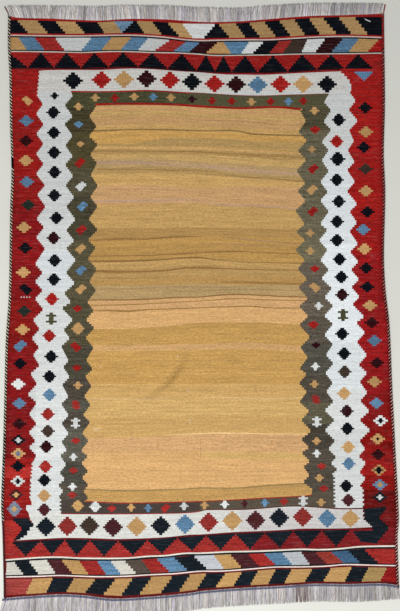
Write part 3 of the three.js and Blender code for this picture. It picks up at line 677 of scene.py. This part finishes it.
figureRow("diamond", [  # right ivory border
    ("black", 338.6, 120), ("red", 336.6, 141.5), ("black", 337.5, 159, "diamond", 1.12),
    ("black", 336.7, 180), ("black", 338.6, 201.5), ("black", 337, 221.7), ("black", 336.8, 240.3),
    ("black", 339.5, 259.3), ("black", 341.2, 277), ("maroon", 342, 294.8),
    ("olive", 343, 315, "rungs", 1.15), ("black", 342, 333.8), ("black", 344, 353.5),
    ("oliveBrown", 344.5, 371.7), ("tan", 344, 393.3), ("maroon", 346.7, 411), ("black", 347.2, 428.5),
    ("tan", 348.2, 447), ("blue", 348.7, 463.5), ("black", 346, 485.7), ("maroonLow", 348.2, 500)])
figureRow("heart", [  # left olive border
    ("blue", 78.8, 124.7), ("tan", 80.5, 144.3, "heart", 0.82), ("red", 80, 163, "rising"),
    ("ivory", 81, 186.5, "rising"), ("blue", 82.3, 206.5, "rising"), ("red", 81.4, 230, "rising"),
    ("tan", 80.8, 249, "rising"), ("blue", 81, 270.5, "rising"), ("tan", 81, 289.3, "rising"),
    ("red", 77.5, 308.7), ("tan", 78, 328.5, "diamond", 0.95), ("red", 76, 347, "falling"),
    ("red", 77, 368), ("tan", 78, 385.3, "cross"), ("redWarm", 76, 404.5, "double", 0.9),
    ("ivory", 75.7, 423, "rungs"), ("redWarm", 75.8, 440.8), ("ivory", 73.5, 457, "plus", 0.95),
    ("redWarm", 73.5, 470.5), ("ivory", 72.7, 486.7, "plus"), ("redWarm", 72.3, 495)])
figureRow("heart", [  # right olive border
    ("red", 315, 130, "heart", 1.15), ("tan", 311.8, 149.5, "cross", 0.9), ("red", 313, 169, "rising"),
    ("tan", 311.8, 190, "rising"), ("red", 312.4, 211.6, "rising"), ("tan", 310, 233, "cross"),
    ("tan", 310, 251, "cross"), ("red", 314.7, 269), ("tan", 314.8, 287.5, "falling"),
    ("ivory", 318.5, 306, "plus"), ("red", 313.3, 324.8, "heart", 1.15), ("maroon", 315.8, 345.3),
    ("ivory", 315.3, 366.4, "plus"), ("tan", 314.3, 384, "cross"), ("redWarm", 315.8, 399, "double", 0.9),
    ("ivory", 316.8, 421.7, "rungs"), ("tan", 316.5, 441, "cross"), ("ivory", 316.7, 453.4, "plus"),
    ("redWarm", 321.6, 466.3), ("tan", 319.2, 477.7, "cross"), ("redWarm", 323.7, 488.5)])
figureRow("plus", [  # lower olive band
    ("tan", 77.9, 505.6, "diamond", 0.9), ("ivory", 95.3, 506.5, "diamond", 0.85),
    ("redWarm", 112, 508.6, "heart"), ("tan", 131.2, 507.4), ("blue", 148.2, 508),
    ("redWarm", 165.4, 508, "rising", 0.9), ("ivory", 184.1, 506), ("tan", 204.5, 505.2),
    ("ivory", 224.7, 504.3), ("maroonLow", 244.4, 503.6), ("blue", 264.7, 502.8),
    ("redWarm", 283.9, 501.6, "heart"), ("ivory", 303.1, 500.7, "rungs"),
    ("tan", 321, 502.2, "cross")], 1.0)
figureRow("lowDiamond", [
    ("blackLow", 46, 526.5), ("redSoft", 67.5, 526), ("oliveBrown", 89.5, 525.5), ("maroonLow", 113, 527),
    ("tan", 136.7, 526.3), ("blackLow", 160.8, 525.5), ("blue", 185, 524), ("redSoft", 208.5, 522),
    ("tan", 232.3, 520.5), ("maroonLow", 255.5, 520), ("blackLow", 279, 517.5), ("redSoft", 302.6, 516.8),
    ("blue", 327, 518.2, "lowDiamond", 0.94), ("tan", 350.3, 518.2, "lowDiamond", 0.92)])
figure("diamond", "blueGrey", 14.5, 508.7, 1.08, 1.2)
figure("cross", "tan", 14.5, 508.7, 0.72)
# corner figures of the lower band
shape("blackLow", [(12, 518), (28, 518)] + stair((28, 518), (34.8, 525), 3) + chevron
      + stair((13.5, 540.4), (22.4, 528.6), 5) + stair((22.4, 528.6), (12, 519), 4), cloth)
shape("blackLow", [(388.5, 506), (372, 507.6), (363, 509)] + teeth((363.5, 509), (364, 520), 5, 1.2)
      + stair((365, 520), (372.7, 527.5), 4) + [(372.7, 531), (388, 531)]
      + stair((389.5, 527), (378.5, 517.5), 4) + stair((378.5, 517.5), (386.5, 508.2), 4)
      + [(386.5, 506.2)], cloth)
print("kilim: chart holds", len(shapes), "outlines")

# woven panel: sizes in metres, the grid and snap of its faces in chart counts
panel = {
    "thick": 0.003, "flat": (1.6, 2.38), "stray": 0.0001, "snap": 0.012,
    "gridAcross": (14, 392, 7.5), "gridDown": (24, 584, 7.5),
}


def turning(points):
    # twice the signed area of an outline
    return sum(a[0] * b[1] - b[0] * a[1] for a, b in zip(points, points[1:] + points[:1]))


def holds(points, across, down):
    # even-odd test of one spot against one outline
    hit = False
    for (a1, d1), (a2, d2) in zip(points, points[1:] + points[:1]):
        if (d1 > down) != (d2 > down) and across < a1 + (a2 - a1) * (down - d1) / (d2 - d1):
            hit = not hit
    return hit


def cutPattern():
    # cuts the chart into triangles; each knows the outlines that it lies in
    corners, loops = [], []
    for _, points, _ in shapes:
        points = [p for i, p in enumerate(points) if p != points[i - 1]]
        if turning(points) < 0:
            points = points[::-1]
        loops.append(list(range(len(corners), len(corners) + len(points))))
        corners += [Vector(p) for p in points]
    for across in samples(*panel["gridAcross"]):
        corners += [Vector((across, down)) for down in samples(*panel["gridDown"])]
    middle = Vector((crease["across"], crease["down"]))
    for turn in samples(*crease["arc"]):
        along = Vector((math.cos(turn), math.sin(turn)))
        corners += [middle + along * reach for reach in samples(*crease["rings"])]
    cut = delaunay_2d_cdt(corners, [], loops, 0, panel["snap"])
    print("kilim: pattern cut into", len(cut[2]), "faces")
    return cut[0], cut[2], [set(owners) for owners in cut[5]]


def settleCrossed(spots, faces, owned):
    # an outline that crosses itself claims too much or too little: it is tested face by face
    middles = []
    claimed = [0.0] * len(shapes)
    for owners, face in zip(owned, faces):
        a, b, c = (spots[v] for v in face)
        middles.append((a + b + c) / 3)
        for i in owners:
            claimed[i] += abs((b - a).cross(c - a)) / 2
    crossed = []
    for i, (_, points, _) in enumerate(shapes):
        if abs(claimed[i] - abs(turning(points)) / 2) > 0.02 + 0.001 * claimed[i]:
            crossed.append(i)
    print("kilim: outlines tested face by face:", len(crossed))
    for i in crossed:
        points = shapes[i][1]
        west, east = min(p[0] for p in points), max(p[0] for p in points)
        high, low = min(p[1] for p in points), max(p[1] for p in points)
        for owners, (across, down) in zip(owned, middles):
            owners.discard(i)
            if west < across < east and high < down < low and holds(points, across, down):
                owners.add(i)


def linear(c):
    # a dye value as light
    c = min(255, max(0, c)) / 255
    return c / 12.92 if c <= 0.04045 else ((c + 0.055) / 1.055) ** 2.4


def paint(bm, dyeOf):
    # each face gets its dye, and each corner its place along and across the weft lines; by the crease the
    # dye also gets painted shade and painted light
    loomUv = bm.loops.layers.uv.new("loom")
    dyeWithPaintedShadeLayer = bm.loops.layers.float_color.new("dye")
    for face, best in zip(bm.faces, dyeOf):
        *colour, streaky = shapes[best][0]
        for corner in face.loops:
            corner[dyeWithPaintedShadeLayer] = (*(linear(c) for c in colour), streaky)
    for vert in bm.verts:
        across = (vert.co.x * 1000 - rug["moveX"]) / rug["step"] + rug["midAcross"]
        down = rug["midDown"] - (vert.co.y * 1000 - rug["moveY"]) / rug["step"]
        waveSpot = min(waveAcross[-1], max(waveAcross[0], across))
        level = down - wave(waveSpot, min(waves[-1][0], max(waves[0][0], down)))
        # painted shade on the dark side of the crease and painted light on its other side, multiplied into
        # the dye colour
        paintedCreaseShadeAndLight = 1 - crease["darker"] * creased(across, down, *crease["shade"])
        paintedCreaseShadeAndLight += crease["lighter"] * creased(across, down, *crease["light"])
        for corner in vert.link_loops:
            corner[loomUv].uv = (across * rug["step"] / 1000, -level * rug["step"] / 1000)
            *colour, streaky = corner[dyeWithPaintedShadeLayer]
            corner[dyeWithPaintedShadeLayer] = (*(c * paintedCreaseShadeAndLight for c in colour), streaky)


def thicken(bm):
    # the patterned face is raised, and a copy turned over becomes the underside
    under = bm.faces[:]
    raised = bmesh.ops.extrude_face_region(bm, geom=under, use_keep_orig=True)["geom"]
    risen = [g for g in raised if isinstance(g, bmesh.types.BMVert)]
    bmesh.ops.translate(bm, vec=(0, 0, panel["thick"]), verts=risen)
    bmesh.ops.reverse_faces(bm, faces=under)
    bm.normal_update()
    for face in bm.faces:
        face.smooth = abs(face.normal.z) > 0.5


def linked(name, data):
    piece = bpy.data.objects.new(name, data)
    bpy.context.scene.collection.objects.link(piece)
    return piece


def wovenPanel():
    spots, faces, owned = cutPattern()
    settleCrossed(spots, faces, owned)
    dyeOf, kept = [], []
    for owners, face in zip(owned, faces):
        if cloth in owners:
            dyeOf.append(max(i for i in owners if shapes[i][2] is None or shapes[i][2] in owners))
            kept.append(face[::-1])
    wool = bpy.data.meshes.new("woven_wool_panel")
    wool.from_pydata([place(a, d, lift(a, d)) for a, d in spots], [], kept)
    bm = bmesh.new()
    bm.from_mesh(wool)
    paint(bm, dyeOf)
    bmesh.ops.dissolve_degenerate(bm, dist=panel["stray"], edges=bm.edges)
    bmesh.ops.delete(bm, geom=[v for v in bm.verts if not v.link_faces], context="VERTS")
    bm.normal_update()
    bmesh.ops.reverse_faces(bm, faces=[f for f in bm.faces if f.normal.z < 0])
    flatArea = sum(f.calc_area() for f in bm.faces)
    thicken(bm)
    bm.to_mesh(wool)
    bm.free()
    print("kilim: panel area", round(flatArea, 4), "faces", len(wool.polygons))
    return linked("woven_panel_cloth", wool), flatArea


panelPiece, area = wovenPanel()


# yarns of the edges and fringes
def yarnPiece(name, runs, radius):
    # each run of yarn: points, radius factors, closed or not, colour
    curve = bpy.data.curves.new(name, "CURVE")
    curve.dimensions = "3D"
    curve.bevel_depth = radius
    curve.bevel_resolution = 0
    sides = 4  # what a bevel resolution of 0 gives a yarn
    for points, radii, closed, _ in runs:
        line = curve.splines.new("POLY")
        line.points.add(len(points) - 1)
        line.points.foreach_set("co", [c for p in points for c in (*p, 1)])
        line.points.foreach_set("radius", radii)
        line.use_cyclic_u = closed
    shaper = linked(name, curve)
    bpy.context.view_layer.update()
    shaped = shaper.evaluated_get(bpy.context.evaluated_depsgraph_get())
    mesh = bpy.data.meshes.new_from_object(shaped)
    bpy.data.objects.remove(shaper)
    colours = []
    for points, _, _, colour in runs:
        colours += [*(linear(c) for c in colour), 1] * (sides * len(points))
    mesh.color_attributes.new("yarn", "FLOAT_COLOR", "POINT").data.foreach_set("color", colours)
    bm = bmesh.new()
    bm.from_mesh(mesh)
    bmesh.ops.holes_fill(bm, edges=[e for e in bm.edges if e.is_boundary], sides=sides)
    bmesh.ops.recalc_face_normals(bm, faces=bm.faces)
    bm.to_mesh(mesh)
    bm.free()
    mesh.name = name
    mesh.polygons.foreach_set("use_smooth", [True] * len(mesh.polygons))
    print("kilim:", name, "faces", len(mesh.polygons))
    return linked(name, mesh)


def toned(colour, amount):
    factor = 1 + chance.uniform(-amount, amount)
    return tuple(c * factor for c in colour)


# overcast edge cords: pitch, lean, widths and inset in chart counts, heights in metres
overcast = {
    "pitch": 3.33, "wraps": 5, "lean": 1.2, "halfWide": 1.05, "halfHigh": 0.0018, "yarn": 0.00115,
    "inset": 1.18, "wobble": 0.06, "turnPoints": 8, "coreUp": 0.0024, "coreSize": 1.5,
    "core": (20, 16, 18), "endStrand": (196, 180, 168), "endStrands": 7, "endPoints": 12, "endTwist": 7,
    "endSpread": 0.42, "endOpen": 6, "endUp": 0.0022, "endHalfUp": 0.0010,
}
cordYarns = {
    "dark": (8, 7, 12), "cream": (236, 228, 208), "wine": (92, 22, 24), "rose": (120, 62, 60),
    "umber": (34, 9, 13), "red": (146, 40, 38), "pink": (208, 134, 124), "brown": (28, 14, 15),
    "blush": (232, 196, 184), "straw": (188, 176, 150),
}
leftWrapping = {  # stretches: the five wraps that repeat from a height downwards
    "name": "selvedge_left_overcast", "side": -1, "edge": leftEdge, "top": 17.2, "bottom": 598.2,
    "stretches": [(0, "dark dark dark straw cream"), (157, "dark dark dark dark dark"),
                  (168, "dark dark dark straw cream"), (435, "dark dark dark brown cream"),
                  (520, "dark wine wine dark rose")],
    "end": [(9.0, 17), (8.1, 13.2), (6.6, 10), (5.0, 6.9)], "endDye": (104, 24, 26),
}
rightWrapping = {
    "name": "selvedge_right_overcast", "side": 1, "edge": rightEdge, "top": 15.2, "bottom": 588,
    "stretches": [(0, "wine red red red red"), (48, "umber umber umber red pink"),
                  (330, "brown brown brown red blush")],
    "end": [(382.6, 16), (383.6, 11.6), (384.4, 8), (385.1, 4.6)], "endDye": (150, 40, 38),
}


def looseEnd(wrapping):
    # strands wind round each other and open at the tip
    runs = []
    end = wrapping["end"]
    strands, count = overcast["endStrands"], overcast["endPoints"]
    for n in range(strands):
        points, radii = [], []
        for j in range(count):
            t = j / (count - 1)
            i = min(2, int(t * 3))
            u = t * 3 - i
            across = end[i][0] + (end[i + 1][0] - end[i][0]) * u
            down = end[i][1] + (end[i + 1][1] - end[i][1]) * u
            wind = math.tau * n / strands + t * overcast["endTwist"]
            spread = 1 + overcast["endOpen"] * max(0, t - 0.8) * chance.uniform(0.3, 1)
            across += math.cos(wind) * spread * overcast["endSpread"]
            points.append(place(across, down, overcast["endUp"] + math.sin(wind) * overcast["endHalfUp"]))
            radii.append(0.95 - 0.3 * t)
        colour = wrapping["endDye"] if n else overcast["endStrand"]
        runs.append((points, radii, False, toned(colour, 0.15)))
    return runs


def sideCord(wrapping):
    edge, side = wrapping["edge"], wrapping["side"]
    top, bottom = wrapping["top"], wrapping["bottom"]
    count = overcast["turnPoints"]
    runs = []
    down, wrap = top, 0
    while down < bottom:
        middle = through(edge, down) - side * overcast["inset"]
        repeat = [yarns for start, yarns in wrapping["stretches"] if down > start][-1].split()
        rise = lift(middle, down) + overcast["halfHigh"] + overcast["yarn"]
        points = []
        for j in range(count):
            turn = math.tau * (j + 0.5) / count
            a = middle + math.cos(turn) * overcast["halfWide"]
            d = down - side * math.cos(turn) * overcast["lean"]
            d += chance.uniform(-overcast["wobble"], overcast["wobble"])
            points.append(place(a, d, rise + math.sin(turn) * overcast["halfHigh"]))
        radii = [chance.uniform(0.92, 1.08)] * count
        colour = cordYarns[repeat[wrap % overcast["wraps"]]]
        runs.append((points, radii, True, toned(colour, 0.18)))
        down += overcast["pitch"] / overcast["wraps"]
        wrap += 1
    core = []
    for d in samples(top, bottom, 6):
        across = through(edge, d)
        up = lift(across, d) + overcast["coreUp"]
        core.append(place(across - side * overcast["inset"], d, up))
    runs.append((core, [overcast["coreSize"]] * len(core), False, overcast["core"]))
    return yarnPiece(wrapping["name"], runs + looseEnd(wrapping), overcast["yarn"])


leftCord, rightCord = sideCord(leftWrapping), sideCord(rightWrapping)

# fringes: radius and heights in metres, reach, lean and lock widths in chart counts
fringe = {
    "count": 1800, "radius": 0.00105, "points": 9, "taper": 0.4, "rooted": 0.6, "layers": 3,
    "light": (232, 229, 228), "grey": (170, 165, 166), "warm": (216, 206, 196), "lilac": (206, 200, 212),
    # underPaintedShade darkens the lowest fringe layer as painted shade in the gaps between the upper yarns
    "brown": (130, 96, 92), "brownFrom": 295, "brownTo": 308, "underPaintedShade": 0.7, "underReach": 0.96,
    "underThin": 0.85, "lock": (2.5, 7), "pull": (0.05, 0.3), "lockTone": (0.9, 1.06), "swing": 0.35,
    "stray": 0.22, "bend": 0.3, "up": 0.0012, "layerUp": 0.0009, "waver": 0.0002,
}
topFringe = {
    "edge": topEdge, "start": 11.6, "end": 380.6, "way": -1, "curl": 0.1, "more": 0,
    "parting": (46.5, 49.2, 51.5),
    "reach": [(8, 11.6), (24, 13.2), (44, 13.6), (58, 14), (100, 15), (134, 14.4), (150, 14.4), (205, 15.4),
              (240, 14.2), (262, 14.6), (300, 13.6), (345, 12.6), (384, 10.8)],
    "lean": [(8, -4.6), (24, -3.6), (44, -1.4), (58, 1.3), (100, 0.2), (134, -2.2), (150, 0), (205, 0.1),
             (240, 0.4), (262, 2.6), (300, 1.6), (345, 1.4), (384, 2.4)],
}
bottomFringe = {
    "edge": bottomEdge, "start": 4.2, "end": 398.4, "way": 1, "curl": 0.16, "more": 0.4,
    "reach": [(2, 15.5), (14, 17.5), (40, 18.3), (90, 18.3), (150, 18.3), (205, 17.8), (270, 17.9),
              (345, 17.9), (378, 17.6), (400, 13.4)],
    "lean": [(2, -6.5), (14, -4.2), (40, -1.6), (90, -0.2), (150, 0.2), (205, -0.1), (270, 0.7), (345, 0.1),
             (378, 0.4), (400, 2.2)],
}


def fringeRuns(part):
    top = part is topFringe
    runs = []
    nextLock = part["start"]
    for n in range(fringe["count"]):
        across = part["start"] + (part["end"] - part["start"]) * (n + 0.5) / fringe["count"]
        if across >= nextLock:  # yarns lie in locks that draw together at their tips
            width = chance.uniform(*fringe["lock"])
            middle = across + width / 2
            nextLock = across + width
            pull = chance.uniform(*fringe["pull"])
            swing = chance.uniform(-fringe["swing"], fringe["swing"])
            lockTone = chance.uniform(*fringe["lockTone"])
        # the lowest layer is darkened as painted shade between the yarns above it
        layer = n % fringe["layers"]  # layer 0 lies lowest, and is shorter, thinner and darker
        reach = through(part["reach"], across) * (1 if layer else fringe["underReach"])
        reach += chance.uniform(-0.9, 0.3) + part["more"]
        lean = through(part["lean"], across) + swing + (middle - across) * pull
        lean += chance.gauss(0, fringe["stray"])
        if top and part["parting"][0] < across < part["parting"][2]:
            lean += -1 if across < part["parting"][1] else 1
        root = through(part["edge"], across)
        bend = chance.uniform(-fringe["bend"], fringe["bend"])
        points, radii = [], []
        for j in range(fringe["points"]):
            t = j / (fringe["points"] - 1)
            a = across + lean * t ** 1.25 + math.sin(t * 5 + n * 1.7) * bend * t
            a += math.sin(t * 10 + n * 2.1) * part["curl"] * t
            up = lift(across, root) * (1 - t) + fringe["up"] + layer * fringe["layerUp"] * (1 - 0.4 * t)
            up += math.sin(t * 7 + n * 2.3) * fringe["waver"]
            points.append(place(a, root + part["way"] * (reach * t - fringe["rooted"]), up))
            radii.append((1 if layer else fringe["underThin"]) * (1 - fringe["taper"] * t * t))
        kind = chance.choice(["light", "light", "warm", "lilac", "grey"])
        tone = lockTone * (1 if layer else fringe["underPaintedShade"])
        tone *= 1.06 - 0.12 * across / 400 if top else 0.94 - 0.07 * max(0, across - 200) / 200
        if not top and fringe["brownFrom"] < across < fringe["brownTo"] and n % 2:
            kind = "brown"
        runs.append((points, radii, False, toned([c * tone for c in fringe[kind]], 0.08)))
    return runs


topPiece = yarnPiece("fringe_top_yarns", fringeRuns(topFringe), fringe["radius"])
bottomPiece = yarnPiece("fringe_bottom_yarns", fringeRuns(bottomFringe), fringe["radius"])

# blue-grey finishing cord between the lower edge and its fringe
finishing = {
    "radius": 0.0026, "turn": 3.3, "start": 2.6, "end": 399, "gap": 0.52, "drop": 1.15, "half": 0.5,
    "up": 0.0044, "halfUp": 0.0016, "colours": [(88, 98, 128), (124, 116, 130), (74, 86, 112)],
}


def finishingCord():
    runs = []
    for strand, colour in enumerate(finishing["colours"]):
        points = []
        for a in samples(finishing["start"], finishing["end"], finishing["gap"]):
            wind = math.tau * (a / finishing["turn"] + strand / 3)
            d = through(bottomEdge, a) + finishing["drop"] + math.cos(wind) * finishing["half"]
            points.append(place(a, d, finishing["up"] + math.sin(wind) * finishing["halfUp"]))
        runs.append((points, [chance.uniform(0.85, 1.1) for p in points], False, colour))
    return yarnPiece("finishing_cord", runs, finishing["radius"])


finishPiece = finishingCord()


# materials
specular = 0.06  # wool and the pale floor hardly shine


def newMaterial(name, roughness):
    material = bpy.data.materials.new(name)
    material.use_nodes = True
    shader = material.node_tree.nodes["Principled BSDF"]
    shader.inputs["Roughness"].default_value = roughness
    shader.inputs["Specular IOR Level"].default_value = specular
    return material, material.node_tree, shader


def newNode(tree, kind, inputs, operation=None):
    # inputs: the name or number of a socket, then its value or the socket that feeds it
    made = tree.nodes.new("ShaderNode" + kind)
    if operation:
        made.operation = operation
    for name, value in inputs.items():
        if isinstance(value, bpy.types.NodeSocket):
            tree.links.new(value, made.inputs[name])
        else:
            made.inputs[name].default_value = value
    return made


def noise(tree, vector, size, detail=3.0, rough=0.55):
    mapping = newNode(tree, "Mapping", {"Vector": vector, "Scale": size})
    inputs = {"Vector": mapping.outputs["Vector"], "Scale": 1, "Detail": detail, "Roughness": rough}
    return newNode(tree, "TexNoise", inputs).outputs["Fac"]


def ranged(tree, value, low, high, fromLow=0.3, fromHigh=0.7):
    inputs = {"Value": value, "From Min": fromLow, "From Max": fromHigh, "To Min": low, "To Max": high}
    return newNode(tree, "MapRange", inputs).outputs["Result"]


def plus(tree, a, b):
    return newNode(tree, "Math", {0: a, 1: b}, "ADD").outputs["Value"]


def times(tree, a, b):
    return newNode(tree, "Math", {0: a, 1: b}, "MULTIPLY").outputs["Value"]


def shaded(tree, colour, tone):
    return newNode(tree, "VectorMath", {0: colour, "Scale": tone}, "SCALE").outputs["Vector"]


def ribs(tree, vector, direction, pitch, distortion):
    # fine ridges of the weave, their pitch in metres: at scale 1 a wave turns 20 radians a metre
    scale = math.tau / (pitch * 20)
    inputs = {"Vector": vector, "Scale": scale, "Distortion": distortion, "Detail": 1.0}
    made = newNode(tree, "TexWave", inputs)
    made.bands_direction = direction
    return made.outputs["Fac"]


def bumped(tree, shader, height, strength, depth):
    bump = newNode(tree, "Bump", {"Height": height, "Strength": strength, "Distance": depth})
    tree.links.new(bump.outputs["Normal"], shader.inputs["Normal"])


weave = {
    "warpPitch": 0.0036, "weftPitch": 0.0014, "bump": 0.35, "bumpDepth": 0.0006, "sheen": 0.03,
    # size of the noise, its detail, and the darkest and lightest tone
    "longStreaks": ((3, 150, 1), 3, 0.93, 1.06), "shortStreaks": ((14, 300, 1), 2, 0.92, 1.07),
    "bands": ((0.7, 42, 1), 3, 0.95, 1.05),
    # size of the noise alone
    "picks": (75, 185, 1), "beads": (190, 210, 1), "wefts": (9, 105, 1), "glints": (16, 170, 1),
    "fuzz": (300, 700, 1), "grain": 0.42, "streakyGrain": 1.3, "unevenness": 1.5, "lint": 0.045,
}


def streaks(tree, loom, name):
    size, detail, low, high = weave[name]
    return ranged(tree, noise(tree, loom, size, detail), low, high)


def wovenWool():
    material, tree, shader = newMaterial("woven wool", 0.9)
    shader.inputs["Sheen Weight"].default_value = weave["sheen"]
    shader.inputs["Sheen Roughness"].default_value = 0.5
    # the dye attribute also holds the painted shade and painted light of the crease
    dye = tree.nodes.new("ShaderNodeAttribute")
    dye.attribute_name = "dye"
    streaky = dye.outputs["Alpha"]
    loomNode = tree.nodes.new("ShaderNodeUVMap")
    loomNode.uv_map = "loom"
    loom = loomNode.outputs["UV"]
    where = tree.nodes.new("ShaderNodeTexCoord").outputs["Object"]
    # long and short weft streaks, and bands of several wefts
    shortStreaks = streaks(tree, loom, "shortStreaks")
    tone = times(tree, streaks(tree, loom, "longStreaks"), shortStreaks)
    tone = times(tree, tone, streaks(tree, loom, "bands"))
    # single picks and the grain of the weave, stronger on streaky wool
    picks = plus(tree, noise(tree, loom, weave["picks"], 2, 0.7), -0.5)
    beads = plus(tree, noise(tree, where, weave["beads"], 2, 0.7), -0.5)
    depth = plus(tree, times(tree, streaky, weave["streakyGrain"]), weave["grain"])
    grain = times(tree, plus(tree, picks, beads), depth)
    tone = times(tree, tone, plus(tree, grain, 1))
    warpRibs = ribs(tree, where, "X", weave["warpPitch"], 0.3)
    weftRibs = ribs(tree, where, "Y", weave["weftPitch"], 0.6)
    tone = times(tree, tone, ranged(tree, warpRibs, 0.95, 1.03, 0, 1))
    # uneven dye along each weft, and pale lint on it
    wefts = plus(tree, noise(tree, loom, weave["wefts"], 3, 0.65), -0.5)
    uneven = times(tree, times(tree, wefts, streaky), weave["unevenness"])
    tone = times(tree, tone, plus(tree, uneven, 1))
    glints = ranged(tree, noise(tree, loom, weave["glints"], 3, 0.7), 0, weave["lint"], 0.53, 0.74)
    inputs = {0: shaded(tree, dye.outputs["Color"], tone), 1: times(tree, glints, streaky)}
    colour = newNode(tree, "VectorMath", inputs, "ADD").outputs["Vector"]
    tree.links.new(colour, shader.inputs["Base Color"])
    tree.links.new(ranged(tree, shortStreaks, 0.84, 0.96, 0.9, 1.1), shader.inputs["Roughness"])
    height = plus(tree, times(tree, warpRibs, 0.6), times(tree, weftRibs, 0.3))
    height = plus(tree, height, noise(tree, where, weave["fuzz"], 2))
    bumped(tree, shader, height, weave["bump"], weave["bumpDepth"])
    return material


yarnLook = {
    "sheen": 0.05, "bump": 0.4, "bumpDepth": 0.0004, "soil": (9, 9, 9), "cordFibres": (700, 700, 700),
    "cordContrast": 0.16, "warpFibres": (900, 260, 500), "warpContrast": 0.12,
}


def spunYarn(name, fibreSize, contrast):
    material, tree, shader = newMaterial(name, 0.85)
    shader.inputs["Sheen Weight"].default_value = yarnLook["sheen"]
    shader.inputs["Sheen Roughness"].default_value = 0.45
    colour = tree.nodes.new("ShaderNodeAttribute")
    colour.attribute_name = "yarn"
    where = tree.nodes.new("ShaderNodeTexCoord").outputs["Object"]
    fibres = noise(tree, where, fibreSize, 3, 0.6)
    tone = ranged(tree, fibres, 1 - contrast, 1 + contrast * 0.7)
    soil = ranged(tree, noise(tree, where, yarnLook["soil"], 3), 0.94, 1.04)
    shade = shaded(tree, colour.outputs["Color"], times(tree, tone, soil))
    tree.links.new(shade, shader.inputs["Base Color"])
    tree.links.new(ranged(tree, fibres, 0.78, 0.95), shader.inputs["Roughness"])
    bumped(tree, shader, fibres, yarnLook["bump"], yarnLook["bumpDepth"])
    return material


def paleFloor(colour):
    material, tree, shader = newMaterial("pale studio floor", 0.8)
    where = tree.nodes.new("ShaderNodeTexCoord").outputs["Object"]
    ground = tree.nodes.new("ShaderNodeRGB").outputs[0]
    ground.default_value = (*colour, 1)
    clouds = ranged(tree, noise(tree, where, (3, 3, 3), 2), 0.985, 1.015)
    tree.links.new(shaded(tree, ground, clouds), shader.inputs["Base Color"])
    return material


woolMaterial = wovenWool()
cordMaterial = spunYarn("overcast yarn", yarnLook["cordFibres"], yarnLook["cordContrast"])
fringeMaterial = spunYarn("undyed warp yarn", yarnLook["warpFibres"], yarnLook["warpContrast"])
print("kilim: materials made")

for piece, node, slot, material in [
    (panelPiece, "woven_panel", "woven_wool", woolMaterial),
    (leftCord, "selvedge_left", "selvedge_yarn", cordMaterial),
    (rightCord, "selvedge_right", "selvedge_yarn", cordMaterial),
    (topPiece, "fringe_top", "fringe_yarn", fringeMaterial),
    (bottomPiece, "fringe_bottom", "fringe_yarn", fringeMaterial),
    (finishPiece, "fringe_bottom", "fringe_yarn", fringeMaterial),
]:
    piece.data.materials.append(material)
    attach(piece, "root")
    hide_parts(node)

# floor, light and camera
studio = {
    "floorSize": 60.0, "floorColour": (0.70, 0.70, 0.65), "sky": 0.54, "lampPower": 84, "lampSize": 2.6,
    "lampAt": (-0.5, -1.7, 3.0), "lampTo": (0, -0.3, 0), "cameraAt": (0.0031, 0.0170, 4.0),
    "frameTall": 2.5051,
}


def studioFloor():
    bm = bmesh.new()
    bmesh.ops.create_grid(bm, x_segments=1, y_segments=1, size=studio["floorSize"] / 2)
    mesh = bpy.data.meshes.new("studio_floor")
    bm.to_mesh(mesh)
    bm.free()
    mesh.materials.append(paleFloor(studio["floorColour"]))
    return linked("studio_floor", mesh)


floorPiece = studioFloor()

world = bpy.data.worlds.new("soft studio")
world.use_nodes = True
background = world.node_tree.nodes["Background"]
background.inputs["Color"].default_value = (1, 1, 1, 1)
background.inputs["Strength"].default_value = studio["sky"]
bpy.context.scene.world = world

lampData = bpy.data.lights.new("soft lamp", "AREA")
lampData.shape = "DISK"
lampData.size = studio["lampSize"]
lampData.energy = studio["lampPower"]
lamp = linked("soft lamp", lampData)
lamp.location = studio["lampAt"]
beam = Vector(studio["lampTo"]) - Vector(studio["lampAt"])
lamp.rotation_euler = beam.to_track_quat("-Z", "Y").to_euler()

cameraData = bpy.data.cameras.new("camera")
cameraData.lens = cameraData.sensor_width * studio["cameraAt"][2] / studio["frameTall"]
camera = linked("camera", cameraData)
camera.location = studio["cameraAt"]
bpy.context.scene.camera = camera
bpy.context.scene.view_settings.view_transform = "Standard"

bpy.context.view_layer.update()
print("kilim: done")
